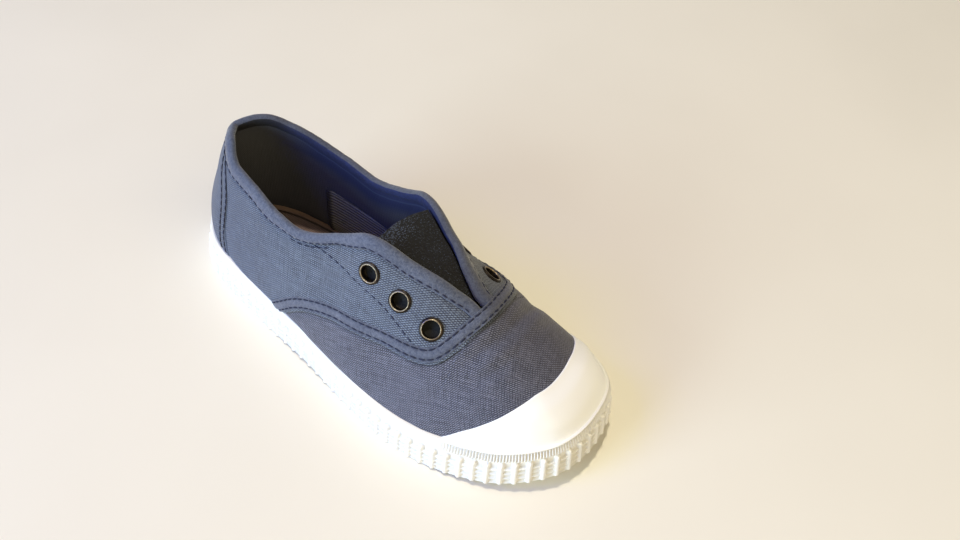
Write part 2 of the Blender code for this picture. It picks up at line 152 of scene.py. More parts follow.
def soften(path, width=4):
    """The path with its small wobbles averaged out and its ends kept."""
    return blurred(np.pad(path, ((width, width), (0, 0)), mode="reflect", reflect_type="odd"), width)


def search_tree(points):
    tree = KDTree(len(points))
    for i, point in enumerate(points):
        tree.insert(point, i)
    tree.balance()
    return tree


# The spacing of the points on a line.
LINE_STEP = 0.4

# ---- the last ----

LENGTH = 184.0
# The sole's outline: (along from the heel, across towards the lateral side).
OUTLINE = (
    (3.4, 1.5), (10.8, 12.8), (22.5, 20.7), (38.0, 24.7), (80.0, 30.3), (129.0, 37.0), (162.0, 29.5),
    (179.5, 15.0), (184.0, -1.5), (179.0, -21.5), (162.0, -32.0), (127.0, -36.0), (81.0, -29.0),
    (38.0, -24.8), (22.5, -20.6), (10.8, -12.3),
)
# The ridge: (along, height, across).
RIDGE = (
    (37.0, 74.0, -2.5), (69.0, 91.0, -1.8), (97.0, 95.0, -1.2), (117.0, 64.5, -0.7),
    (135.0, 46.0, -0.3), (153.0, 37.5, 0.0),
)
# The wall: (along, roundness at the top, lean at the bottom, belly), and the shares between which it bellies.
PROFILE = (
    (3.4, 0.94, 0.9, -0.9), (52.0, 0.67, 1.5, 1.6), (97.0, 1.44, 1.7, 0.5), (135.0, 0.85, 1.47, 1.5),
    (184.0, 0.45, 1.07, 2.0),
)
BELLY_FROM, BELLY_TO = 0.13, 0.78
# The canvas edge at the collar and throat: (along, share).
TOPLINE = (
    (0.0, 0.662), (14.0, 0.671), (24.0, 0.668), (30.0, 0.626), (36.0, 0.588), (43.0, 0.562), (52.0, 0.527),
    (63.0, 0.477), (72.0, 0.459), (90.0, 0.512), (100.0, 0.562), (118.0, 0.757), (128.0, 0.9),
    (134.5, 0.966), (140.0, 0.976),
)
THROAT_END = TOPLINE[-1][0]
# How much lower the canvas edge lies on the medial side: (along, share).
MEDIAL_DROP = (
    (6.0, 0.0), (16.0, -0.016), (25.0, -0.011), (30.0, -0.028), (37.5, -0.031), (45.0, -0.003),
    (49.0, 0.01), (55.0, 0.018), (63.0, 0.005), (72.0, 0.0), (84.0, 0.006), (97.0, 0.014), (104.0, 0.01),
    (114.0, 0.0),
)
# How far the medial quarter draws inwards beside the throat, and where: how far under the canvas edge, as a
# window in share, and a window along the shoe.
MEDIAL_FALL, FALL_BESIDE, FALL_ALONG = 2.6, (-0.1, 0.22, 0.12, 0.3), (92.0, 16.0, 124.0, 15.0)
# How far the canvas swells out over the foxing, (along, millimetres), and the shares where it does so most
# and where that ends.
FLARE = (
    (3.0, 2.2), (30.0, 1.7), (43.0, 2.6), (58.0, 3.0), (74.0, 3.7), (86.0, 4.3), (100.0, 4.2), (115.0, 3.7),
    (127.0, 3.2), (140.0, 2.9), (150.0, 2.5), (170.0, 1.2), (184.0, 1.2),
)
FLARE_SHARE, FLARE_TO = 0.15, 0.44
# How much less it swells on the medial side, where the foxing's lip stands higher, and how far across and
# along the shoe that reaches.
MEDIAL_TRIM, TRIM_ACROSS, TRIM_TO, TRIM_FADE = 0.5, 12.0, 122.0, 28.0
FOOT_HEIGHT, FOOT_INSET = 8.3, 5.5
# How far along the outline the bend at the back of the heel is eased, and how far from the heel that fades.
HEEL_EASE, EASE_FROM, EASE_TO = 9.0, 14.0, 26.0
SPRING_FROM, TOE_SPRING = 132.0, 6.5
ARCH_FROM, ARCH_TO, ARCH_RISE = 52.0, 108.0, 0.7


def outward_normals(loop):
    tangent = np.roll(loop, -1, 0) - np.roll(loop, 1, 0)
    tangent /= np.linalg.norm(tangent, axis=1)[:, None]
    return joined(-tangent[:, 1], tangent[:, 0])


OUTLINE_LOOP, OUTLINE_LENGTH = closed_curve(OUTLINE)
OUTLINE_NORMALS = outward_normals(OUTLINE_LOOP)
CENTRE_ALONG, CENTRE_ACROSS = (OUTLINE_LOOP.max(axis=0) + OUTLINE_LOOP.min(axis=0)) / 2


def on_loop(turn, loop):
    """The loop's rows, read at these turns."""
    at = np.mod(turn, 1.0) * len(loop)
    return read_columns(at, np.arange(len(loop) + 1), np.vstack([loop, loop[:1]]))


def ring(turn, inset):
    """(along, across) on the outline at these turns, moved inwards by inset."""
    return on_loop(turn, OUTLINE_LOOP) - on_loop(turn, OUTLINE_NORMALS) * np.asarray(inset)[..., None]


def eased_foot():
    """The foot of the wall as an even loop, with the tight bend at the back of the heel rounded."""
    loop = OUTLINE_LOOP - OUTLINE_NORMALS * FOOT_INSET
    width = int(len(loop) * HEEL_EASE / OUTLINE_LENGTH)
    eased = blurred(np.vstack([loop[-width:], loop, loop[:width]]), width)
    near = 1.0 - ease((loop[:, :1] - EASE_FROM) / (EASE_TO - EASE_FROM))
    return loop + (eased - loop) * near


FOOT_LOOP = eased_foot()
FINE_TURNS = np.linspace(0.0, 1.0, 2001)
FINE_REACH = on_loop(FINE_TURNS, FOOT_LOOP)[:, 0]


def foot_at(turn):
    """(along, across) of the wall's foot at these turns."""
    return on_loop(turn, FOOT_LOOP)


def along_of(turn):
    return foot_at(turn)[..., 0]


def turn_at(along, side):
    """The turn whose wall foot lies at this distance from the heel, on one side of the shoe."""
    toe = int(np.argmax(FINE_REACH))
    heel = int(np.argmin(np.where(FINE_TURNS < 0.5, FINE_REACH, np.inf)))
    if side == LATERAL:
        return np.interp(along, FINE_REACH[heel:toe], FINE_TURNS[heel:toe])
    return np.interp(along, FINE_REACH[:toe:-1], FINE_TURNS[:toe:-1])


def is_medial(turn):
    return np.mod(turn, 1.0) > 0.5


def toe_rise(along):
    return TOE_SPRING * np.clip((along - SPRING_FROM) / (LENGTH - SPRING_FROM), 0.0, None) ** 2


def arch(along):
    share = np.clip((along - ARCH_FROM) / (ARCH_TO - ARCH_FROM), 0.0, 1.0)
    return ARCH_RISE * np.sin(math.pi * share) ** 2


def to_world(along, across, height):
    return joined(CENTRE_ACROSS - across, CENTRE_ALONG - along, height)


def flare(along, share):
    """How far the canvas swells outwards where it meets the foxing; less so under the toe cap."""
    below, above = share / FLARE_SHARE, (share - FLARE_SHARE) / (FLARE_TO - FLARE_SHARE)
    return smooth_rows(along, FLARE) * ease(below) * (1.0 - ease(above))


def medial_waist(along, across):
    """1 beside the waist and heel on the medial side, 0 on the lateral side and at the toe."""
    return ease(-across / TRIM_ACROSS) * (1.0 - ease((along - TRIM_TO) / TRIM_FADE))


def medial_fall(turn, along, share):
    """How far the medial quarter draws inwards beside the throat, most of it just outside the canvas edge."""
    near_edge = window(smooth_rows(along, TOPLINE) - share, *FALL_BESIDE)
    return MEDIAL_FALL * near_edge * window(along, *FALL_ALONG) * is_medial(turn)


def last_point(turn, share):
    """The upper's outer surface."""
    turn, share = np.broadcast_arrays(np.asarray(turn, float), np.asarray(share, float))
    along, across = np.moveaxis(foot_at(turn), -1, 0)
    top_along = np.clip(along, RIDGE[0][0], RIDGE[-1][0])
    to_ridge = joined(top_along - along, smooth_rows(top_along, RIDGE, 2) - across)
    reach = np.linalg.norm(to_ridge, axis=-1)
    low = np.clip(top_along - 0.5, RIDGE[0][0], RIDGE[-1][0] - 1.0)
    ridge_slope = smooth_rows(low + 1.0, RIDGE) - smooth_rows(low, RIDGE)
    fall = ridge_slope * to_ridge[..., 0] / reach
    foot_height = FOOT_HEIGHT + toe_rise(along)
    climb = smooth_rows(top_along, RIDGE) - foot_height
    roundness, lean, belly = (smooth_rows(along, PROFILE, column) for column in (1, 2, 3))
    inward = 1.0 - np.clip(np.cos(share * math.pi / 2), 0.0, None) ** roundness
    upward = np.sin(share * math.pi / 2) ** lean
    in_belly = np.clip((share - BELLY_FROM) / (BELLY_TO - BELLY_FROM), 0.0, 1.0)
    swell = flare(along, share) * (1.0 - MEDIAL_TRIM * medial_waist(along, across))
    swell -= medial_fall(turn, along, share)
    travel = (reach * inward - belly * np.sin(math.pi * in_belly) ** 2 - swell) / reach
    height = foot_height + (climb - fall * reach) * upward + fall * reach * inward
    return to_world(along + to_ridge[..., 0] * travel, across + to_ridge[..., 1] * travel, height)


SMALL_TURN, SMALL_SHARE, TOP_SHARE = 0.0006, 0.004, 0.993


def last_ways(turn, share):
    """The surface's two directions, per unit of turn and per unit of share."""
    share = np.clip(share, SMALL_SHARE, TOP_SHARE)
    round_way = last_point(turn + SMALL_TURN, share) - last_point(turn - SMALL_TURN, share)
    up_way = last_point(turn, share + SMALL_SHARE) - last_point(turn, share - SMALL_SHARE)
    return round_way / (2 * SMALL_TURN), up_way / (2 * SMALL_SHARE)


def last_normal(turn, share):
    return unit(np.cross(*last_ways(turn, share)))


def offset_point(turn, share, out):
    return last_point(turn, share) + last_normal(turn, share) * np.asarray(out)[..., None]


def topline_at(turn):
    """The canvas edge's share at a turn, with its own line on the medial side."""
    along = along_of(turn)
    return smooth_rows(along, TOPLINE) - smooth_rows(along, MEDIAL_DROP) * is_medial(turn)


# ---- lines on the last ----


def make_index():
    """A search tree over the last, with the turn and share of each of its points."""
    turns = np.linspace(0.0, 1.0, 700, endpoint=False)
    shares = np.linspace(0.005, 0.992, 90)
    turn, share = (a.ravel() for a in np.meshgrid(turns, shares, indexing="ij"))
    return search_tree(last_point(turn, share)), turn, share


INDEX = make_index()
# The most that one step of settle() may move a place.
TURN_STEP, SHARE_STEP = 0.004, 0.02


def settle(points):
    """The turn and share of the last's surface nearest to each point."""
    tree, turns, shares = INDEX
    nearest = np.array([tree.find(point)[1] for point in points])
    turn, share = turns[nearest], shares[nearest]
    for _ in range(3):
        round_way, up_way = last_ways(turn, share)
        miss = points - last_point(turn, share)
        ways = (round_way, round_way), (round_way, up_way), (up_way, up_way)
        a, b, c = ((x * y).sum(-1) for x, y in ways)
        p, q = (miss * round_way).sum(-1), (miss * up_way).sum(-1)
        bottom = np.maximum(a * c - b * b, 1e-9)
        turn = turn + np.clip((p * c - q * b) / bottom, -TURN_STEP, TURN_STEP)
        share = np.clip(share + np.clip((q * a - p * b) / bottom, -SHARE_STEP, SHARE_STEP), 0.0, 1.0)
    return np.mod(turn, 1.0), share


def side_points(rows, side):
    along, share = np.array(rows).T
    return last_point(turn_at(along, side), share)


def across_both(rows):
    """A smooth line from the lateral side to the medial one, through rows that end on the ridge."""
    lateral, medial = side_points(rows, LATERAL), side_points(rows, MEDIAL)
    return soften(open_curve(np.vstack([lateral, medial[-2::-1]])), 8)


class Line:
    """A line lying on the last: its points, outward normals, and the direction to its left."""

    def __init__(self, path):
        self.turn, self.share = settle(path)
        self.points = last_point(self.turn, self.share)
        self.normals = last_normal(self.turn, self.share)
        ahead = unit(np.gradient(self.points, axis=0))
        self.left = unit(np.cross(self.normals, ahead))
        self.arc = arc_length(self.points)
        self.tree = search_tree(self.points)

    def beside(self, distance):
        """The line that runs this far to the left: one distance, or one for each point."""
        return Line(resample(soften(self.points + self.left * distance), LINE_STEP))

    def distance(self, points):
        """How far each point is from the line."""
        flat = points.reshape(-1, 3)
        return np.array([self.tree.find(point)[2] for point in flat]).reshape(points.shape[:-1])


# The quarter's front seam, along the upper of its two rows of stitches: (along, share), ending on the ridge.
SEAM = (
    (55.0, 0.01), (57.0, 0.036), (65.0, 0.16), (74.8, 0.25), (84.4, 0.295), (94.6, 0.323), (106.8, 0.369),
    (117.2, 0.459), (127.9, 0.557), (132.0, 0.615), (134.8, 0.725), (136.7, 0.869), (137.4, 1.0),
)
# How far apart its rows are, and how far the quarter's raw edge lies outside the lower one.
SEAM_WIDTH, SEAM_MARGIN = 3.1, 1.7
# The single seam from the collar's dip to the corner of the quarter: (along, share).
INNER_SEAM = ((79.0, 0.455), (85.6, 0.452), (108.6, 0.479), (126.5, 0.552), (129.5, 0.572))
# The rows of stitches on the heel stay, (along, share), and how far its edge lies outside the outer one.
STAY_INNER = (
    (28.6, 0.05), (28.4, 0.15), (28.7, 0.26), (29.0, 0.35), (28.4, 0.44), (26.3, 0.53), (24.0, 0.64),
)
STAY_OUTER = (
    (32.2, 0.05), (31.6, 0.165), (31.4, 0.23), (32.2, 0.32), (33.0, 0.43), (31.6, 0.52), (28.6, 0.58),
    (26.2, 0.64),
)
STAY_MARGIN = 1.1
# Where the collar dips at the waist, as a window along the shoe.
COLLAR_DIP = (60.0, 10.0, 88.0, 10.0)
# How far the binding's stitches lie under its edge, and how much nearer it they are where the collar dips.
BINDING_ROW, DIP_NARROWING = 2.75, 0.46
# How far under them a second, short row runs where the collar dips, and between which places along.
DIP_ROW, DIP_ROW_ENDS = 1.6, (68.0, 88.0)


def make_collar_edge():
    """The canvas edge, from the lateral side of the throat round the heel to the medial side."""
    turns = np.linspace(turn_at(THROAT_END, LATERAL), turn_at(THROAT_END, MEDIAL) - 1.0, 900)
    return Line(soften(resample(last_point(turns, topline_at(turns)), LINE_STEP), 6))


def dip_share(line):
    """1 where the collar dips at the waist, 0 away from it."""
    return window(along_of(line.turn), *COLLAR_DIP)


def make_dip_rows():
    """A second, short row just below the binding's where the collar dips, on both sides."""
    under = binding_row.beside(DIP_ROW)
    along = along_of(under.turn)
    in_dip = (along > DIP_ROW_ENDS[0]) & (along < DIP_ROW_ENDS[1])
    lateral = under.turn < 0.5
    return [Line(under.points[in_dip & side]) for side in (lateral, ~lateral)]


seam_upper = Line(across_both(SEAM))
seam_lower = seam_upper.beside(-SEAM_WIDTH)
seam_edge = seam_upper.beside(-SEAM_WIDTH - SEAM_MARGIN)
inner_seams = [Line(open_curve(side_points(INNER_SEAM, side))) for side, _ in SIDES]
stay_rows = [
    Line(open_curve(side_points(rows, side))) for rows in (STAY_INNER, STAY_OUTER) for side, _ in SIDES
]
collar_edge = make_collar_edge()
binding_row = collar_edge.beside((BINDING_ROW * (1.0 - DIP_NARROWING * dip_share(collar_edge)))[:, None])
dip_rows = make_dip_rows()


# ---- meshes ----


def add_object(name, data):
    item = bpy.data.objects.new(name, data)
    bpy.context.scene.collection.objects.link(item)
    return item


def new_piece(name, points, faces, materials, replaces=None, uv=None, face_materials=None, press=None):
    """An object from vertices in millimetres.

    uv gives each vertex its place on the cloth, in millimetres, and press says how deep it lies in a groove,
    from 0 to 1, where the cloths paint shade and the patch its dark strip.
    """
    mesh = bpy.data.meshes.new(name)
    mesh.from_pydata((np.asarray(points) * MM).tolist(), [], list(faces))
    for material in materials:
        mesh.materials.append(material)
    if uv is not None:
        corners = np.zeros(len(mesh.loops), np.int32)
        mesh.loops.foreach_get("vertex_index", corners)
        layer = mesh.uv_layers.new(name="cloth")
        layer.uv.foreach_set("vector", np.asarray(uv, np.float32)[corners].ravel())
    if face_materials is not None:
        mesh.polygons.foreach_set("material_index", np.asarray(face_materials, np.int32))
    if press is not None:
        depths = mesh.attributes.new("press", "FLOAT", "POINT").data
        depths.foreach_set("value", np.asarray(press, np.float32).ravel())
    mesh.shade_smooth()
    piece = add_object(name, mesh)
    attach(piece, "root")
    if replaces:
        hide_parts(*replaces)
    return piece


def close_up(piece, caps=()):
    """Adds these faces to a piece, and turns all of its faces outwards."""
    bm = bmesh.new()
    bm.from_mesh(piece.data)
    bm.verts.ensure_lookup_table()
    for cap in caps:
        bm.faces.new([bm.verts[i] for i in cap])
    bmesh.ops.recalc_face_normals(bm, faces=bm.faces)
    bm.to_mesh(piece.data)
    bm.free()
    piece.data.shade_smooth()


def grid_faces(columns, rows, closed=False, around=False):
    """Quads over points[column, row]; closed joins the last column to the first, around the last row."""
    i = np.arange(columns if closed else columns - 1)[:, None]
    k = np.arange(rows if around else rows - 1)[None, :]
    j, m = (i + 1) % columns, (k + 1) % rows
    return joined(i * rows + k, j * rows + k, j * rows + m, i * rows + m).reshape(-1, 4)


def flat_grid(points):
    return points.reshape(-1, points.shape[-1])


def closed_sheet(name, material, top, bottom, uv, press=None, replaces=None):
    """A thin solid between two grids, with its rim closed."""
    columns, rows = top.shape[:2]
    count = columns * rows
    faces = grid_faces(columns, rows)
    index = np.arange(count).reshape(columns, rows)
    rim = np.concatenate([index[:, 0], index[-1, 1:], index[-2::-1, -1], index[0, -2:0:-1]])
    ahead = np.roll(rim, -1)
    sides = joined(rim, ahead, ahead + count, rim + count)
    points = np.vstack([flat_grid(top), flat_grid(bottom)])
    faces = np.vstack([faces, faces[:, ::-1] + count, sides])
    press = None if press is None else np.tile(press.ravel(), 2)
    uv = np.tile(flat_grid(uv), (2, 1))
    close_up(new_piece(name, points, faces, [material], replaces, uv, press=press))


def wander(points, size, seed):
    """Smooth noise from about -1 to 1 over points, with bumps of about this size."""
    rng = np.random.default_rng(seed)
    ways = unit(rng.normal(size=(7, 3))) * rng.uniform(0.7, 1.5, size=(7, 1)) * math.pi / size
    shifts = rng.uniform(0.0, 2 * math.pi, size=7)
    return np.sin(points @ ways.T + shifts).mean(axis=-1) * 1.6


# ---- materials ----

# Pairs and triples of colours run from dark to light: a weave's gaps, threads and crowns, or a pile's depths
# and tips.
# The vamp and the quarters are one navy canvas: the vamp's colours are a painted shaded copy, the quarters' a
# painted lit copy.
SHADED_VAMP_COLOURS = (0.001, 0.002, 0.007), (0.017, 0.021, 0.045), (0.214, 0.223, 0.304)
LIT_QUARTER_COLOURS = (0.002, 0.004, 0.012), (0.028, 0.04, 0.078), (0.196, 0.239, 0.322)
TAPE_COLOURS = (0.044, 0.055, 0.1), (0.133, 0.152, 0.213)
BINDING_COLOURS = (0.039, 0.052, 0.099), (0.129, 0.149, 0.213)
# The binding's inner leg: the same tape as a darker, bluer copy, painted shade inside the shoe.
SHADED_INNER_BINDING_COLOURS = (0.007, 0.011, 0.05), (0.022, 0.033, 0.12)
THREAD_COLOURS = (0.002, 0.004, 0.02), (0.009, 0.014, 0.052)
ELASTIC_COLOURS = (0.003, 0.003, 0.003), (0.008, 0.009, 0.011)
# The grey of the elastic's nubs, a painted shine.
NUB_SHINE_COLOUR = (0.068, 0.088, 0.135)
# One navy lining in a painted lit copy, saturated blue under the collar, and a painted shaded copy, greyer
# charcoal.
LIT_LINING_COLOURS = (0.009, 0.014, 0.056), (0.021, 0.031, 0.112)
SHADED_LINING_COLOURS = (0.05, 0.055, 0.072), (0.1, 0.106, 0.132)
# A painted highlight for the lining's fold, and painted shade for the inner binding round the heel.
FOLD_HIGHLIGHT, HEEL_BINDING_SHADE = (0.055, 0.078, 0.17), (0.012, 0.012, 0.016)
PATCH_COLOURS = (0.095, 0.096, 0.086), (0.34, 0.345, 0.29)
PATCH_FLECK, PATCH_STRIP = (0.25, 0.25, 0.22), (0.01, 0.01, 0.014)
SOCK_COLOURS = (0.15, 0.108, 0.118), (0.35, 0.256, 0.27)
# The sock rim's paler, warmer colour is a painted highlight.
SOCK_WORN, SOCK_RIM_HIGHLIGHT, SOCK_LINE = (0.165, 0.1, 0.088), (0.3, 0.2, 0.17), (0.02, 0.012, 0.01)
BACKING_COLOURS = (0.002, 0.002, 0.002), (0.006, 0.006, 0.007)
WHITE_COLOURS = (0.86, 0.85, 0.83), (0.82, 0.805, 0.765)
CAP_COLOURS = (0.93, 0.935, 0.94), (0.91, 0.905, 0.89)
GUNMETAL_COLOURS = (0.022, 0.019, 0.018), (0.06, 0.048, 0.038)
BRASS_COLOURS = (0.42, 0.35, 0.26), (0.22, 0.17, 0.12)
FLOOR_COLOURS = (0.83, 0.796, 0.712), (0.855, 0.822, 0.738)
# Painted groove shade: in a groove along stitches, cloth is painted its darkest colour times this.
CANVAS_GROOVE_SHADE, FELT_GROOVE_SHADE = 0.35, 0.12
# Painted light and shade inside: where the inside turns from its painted lit blue to painted charcoal shade
# towards the heel, and how deep under the edge its painted fold highlight, and the turn to charcoal, lie.
HEEL_SHADE = 44.0, 66.0
FOLD_DEPTH, LINING_SHADE_FROM, LINING_SHADE_TO = 6.2, 9.0, 17.0
# Painted shade on the outside: where it begins and where it is full, towards the heel and across the shoe,
# and how much of it each cloth takes.
HEEL_SHADE_SPAN, HEEL_SHADE_COLOUR = (18.0, 56.0), (0.02, 0.038, 0.095)
MEDIAL_SHADE_SPAN, MEDIAL_SHADE_COLOUR = (-7.0, 7.0), (0.03, 0.02, 0.012)
CANVAS_HEEL_SHADE, FELT_HEEL_SHADE, MEDIAL_SHADE_MOST = 0.38, 0.26, 0.36
WEAVE_PITCH, LINING_PITCH, PATCH_PITCH = 0.45, 0.5, 1.4
# The sock's heights where the painted highlight on its rim begins and is full, and where the rim's dark line
# is.
SOCK_RIM_FROM, SOCK_RIM_TO, SOCK_LINE_AT = 11.75, 12.2, 11.72


class Nodes:
    """Short calls for building one material's node tree."""

    def __init__(self, name):
        self.material = bpy.data.materials.new(name)
        self.material.use_nodes = True
        self.tree = self.material.node_tree
        self.shader = self.tree.nodes["Principled BSDF"]
        self.solid = self.add("ShaderNodeTexCoord", {}).outputs["Object"]

    def put(self, socket, value):
        if isinstance(value, bpy.types.NodeSocket):
            self.tree.links.new(value, socket)
        elif isinstance(value, tuple) and len(value) == 3 and socket.type == "RGBA":
            socket.default_value = (*value, 1.0)
        else:
            socket.default_value = value

    def add(self, kind, inputs, **settings):
        node = self.tree.nodes.new(kind)
        for key, value in settings.items():
            setattr(node, key, value)
        for key, value in inputs.items():
            self.put(node.inputs[key], value)
        return node

    def math(self, operation, a, b=0.0, c=0.0):
        return self.add("ShaderNodeMath", {0: a, 1: b, 2: c}, operation=operation).outputs[0]

    def scaled(self, value, factor, plus):
        return self.math("MULTIPLY_ADD", value, factor, plus)

    def ramp(self, value, low, high, start=0.0, end=1.0):
        inputs = {0: value, 1: low, 2: high, 3: start, 4: end}
        return self.add("ShaderNodeMapRange", inputs, interpolation_type="SMOOTHSTEP").outputs[0]

    def mix(self, amount, a, b):
        node = self.add("ShaderNodeMix", {0: amount}, data_type="RGBA")
        self.put(node.inputs[6], a)
        self.put(node.inputs[7], b)
        return node.outputs[2]

    def blend(self, value, low, high, a, b, start=0.0, end=1.0):
        """Colour a with colour b's share going from start to end as value goes from low to high."""
        return self.mix(self.ramp(value, low, high, start, end), a, b)

    def axis(self, number):
        """One part of the place in the object, in metres."""
        return self.add("ShaderNodeSeparateXYZ", {0: self.solid}).outputs[number]

    def cloth(self):
        """The place on the cloth, in millimetres, and its two parts."""
        place = self.add("ShaderNodeUVMap", {}, uv_map="cloth").outputs[0]
        parts = self.add("ShaderNodeSeparateXYZ", {0: place}).outputs
        return place, parts[0], parts[1]

    def pressed(self, colour, deep):
        """The colour, turned to another where the press attribute is high: painted shade in grooves, and the
        patch's dark strip.
        """
        press = self.add("ShaderNodeAttribute", {}, attribute_name="press").outputs["Fac"]
        return self.mix(press, colour, deep)

    def tone(self, number, span, most):
        """0 before the span on one of the object's axes, and the most after it: a mask of painted shade."""
        return self.ramp(self.axis(number), span[0] * MM, span[1] * MM, 0.0, most)

    def with_painted_shade(self, colour, heel):
        """Cloth with painted shade: a little deeper and bluer round the heel, and browner on the medial side.
        """
        colour = self.mix(self.tone(1, HEEL_SHADE_SPAN, heel), colour, HEEL_SHADE_COLOUR)
        return self.mix(self.tone(0, MEDIAL_SHADE_SPAN, MEDIAL_SHADE_MOST), colour, MEDIAL_SHADE_COLOUR)

    def noise(self, place, scale, detail=2.0, roughness=0.55, stretch=None):
        if stretch:
            place = self.add("ShaderNodeMapping", {"Vector": place, "Scale": stretch}).outputs[0]
        inputs = {"Vector": place, "Scale": scale, "Detail": detail, "Roughness": roughness}
        return self.add("ShaderNodeTexNoise", inputs).outputs[0]

    def bump(self, height, distance, strength=1.0, below=None):
        node = self.add("ShaderNodeBump", {"Height": height, "Distance": distance * MM, "Strength": strength})
        if below is not None:
            self.put(node.inputs["Normal"], below)
        return node.outputs[0]

    def finish(self, colour, roughness, normal=None, **sockets):
        """The material, with these inputs, and any others by their names."""
        sockets |= {"Base_Color": colour, "Roughness": roughness}
        if normal is not None:
            sockets["Normal"] = normal
        for name, value in sockets.items():
            self.put(self.shader.inputs[name.replace("_", " ")], value)
        return self.material


def darker(colour, share):
    return tuple(share * part for part in colour)


def weave(nodes, across, along, pitch):
    """A canvas weave's height, about 0 in the gaps and 1 on the crowns; its threads lean one way."""
    turn_across = nodes.math("MULTIPLY", across, math.pi / pitch)
    turn_along = nodes.math("MULTIPLY", along, math.pi / pitch)
    crowns = nodes.math("COSINE", nodes.math("ADD", turn_across, turn_along))
    counter = nodes.math("COSINE", nodes.math("SUBTRACT", turn_across, turn_along))
    ribs = nodes.math("COSINE", nodes.math("MULTIPLY", turn_across, 1.18))
    rows = nodes.math("COSINE", turn_along)
    total = 0.5
    for wave, weight in ((crowns, 0.32), (ribs, 0.2), (rows, 0.05), (counter, 0.06)):
        total = nodes.scaled(wave, weight, total)
    return total


def canvas_material(name, gap, base, crown):
    """Plain-weave cotton: dark gaps, slubby threads, and slow changes of tone."""
    nodes = Nodes(name)
    place, across, along = nodes.cloth()
    height = weave(nodes, across, along, WEAVE_PITCH)
    slub_warp = nodes.noise(place, 1.0, detail=1.0, stretch=(2.4, 0.12, 1.0))
    slub_weft = nodes.noise(place, 1.0, detail=1.0, stretch=(0.12, 2.4, 1.0))
    slub = nodes.math("ADD", slub_warp, slub_weft)
    cloud = nodes.noise(nodes.solid, 45.0, detail=3.0)
    fuzz = nodes.noise(nodes.solid, 2600.0)
    raised = nodes.scaled(nodes.math("SUBTRACT", slub, 1.0), 0.7, height)
    worn = tuple(0.5 * (a + b) for a, b in zip(base, crown))
    colour = nodes.blend(raised, 0.08, 0.48, gap, base)
    colour = nodes.blend(raised, 0.52, 0.92, colour, crown)
    colour = nodes.blend(cloud, 0.35, 0.75, colour, worn, end=0.35)
    colour = nodes.blend(fuzz, 0.35, 0.75, colour, crown, end=0.24)
    # Painted shade: deeper and bluer round the heel, browner on the medial side, and dark in the grooves along
    # stitches.
    colour = nodes.pressed(nodes.with_painted_shade(colour, CANVAS_HEEL_SHADE), darker(gap, CANVAS_GROOVE_SHADE))
    rough = nodes.ramp(cloud, 0.3, 0.7, 0.82, 0.95)
    normal = nodes.bump(raised, 0.1, 0.8, nodes.bump(fuzz, 0.05, 0.5))
    return nodes.finish(colour, rough, normal, Sheen_Weight=0.2, Sheen_Roughness=0.6)


def felt_material(name, dark, light, sheen=0.35, heel_shade=False):
    """A brushed cotton tape: short fuzz over a soft mottle, with painted shade in its grooves, round the heel,
    and on the medial side unless heel_shade.
    """
    nodes = Nodes(name)
    fuzz = nodes.noise(nodes.solid, 2160.0, detail=3.0, roughness=0.7)
    mottle = nodes.noise(nodes.solid, 900.0)
    cloud = nodes.noise(nodes.solid, 60.0)
    pile = nodes.scaled(fuzz, 0.55, nodes.math("MULTIPLY", mottle, 0.45))
    colour = nodes.blend(pile, 0.32, 0.66, dark, light)
    colour = nodes.blend(cloud, 0.35, 0.7, colour, dark, end=0.3)
    if heel_shade:
        # Painted shade: the inner binding turns near black round the heel.
        colour = nodes.mix(nodes.tone(1, HEEL_SHADE, 1.0), colour, HEEL_BINDING_SHADE)
    else:
        colour = nodes.with_painted_shade(colour, FELT_HEEL_SHADE)
    colour = nodes.pressed(colour, darker(dark, FELT_GROOVE_SHADE))
    rough = nodes.ramp(mottle, 0.3, 0.7, 0.85, 0.98)
    normal = nodes.bump(fuzz, 0.16, 0.7, nodes.bump(mottle, 0.2, 0.6))
    return nodes.finish(colour, rough, normal, Sheen_Weight=sheen, Sheen_Roughness=0.5)


def rubber_material(name, base, shade, roughness=0.38):
    """Moulded rubber: faint cloudy tone, fine pitting and an uneven satin."""
    nodes = Nodes(name)
    cloud = nodes.noise(nodes.solid, 55.0, detail=4.0)
    pits = nodes.noise(nodes.solid, 1900.0)
    patches = nodes.noise(nodes.solid, 240.0, detail=3.0)
    colour = nodes.blend(cloud, 0.4, 0.72, base, shade, end=0.5)
    satin = nodes.ramp(patches, 0.3, 0.7, roughness - 0.06, roughness + 0.12)
    normal = nodes.bump(pits, 0.03, 0.35, nodes.bump(cloud, 0.15, 0.25))
    return nodes.finish(colour, satin, normal, Specular_IOR_Level=0.45)


def thread_material():
    nodes = Nodes("thread")
    twist = nodes.noise(nodes.solid, 2600.0)
    colour = nodes.blend(twist, 0.3, 0.7, *THREAD_COLOURS)
    return nodes.finish(colour, 0.7, nodes.bump(twist, 0.06, 0.6))


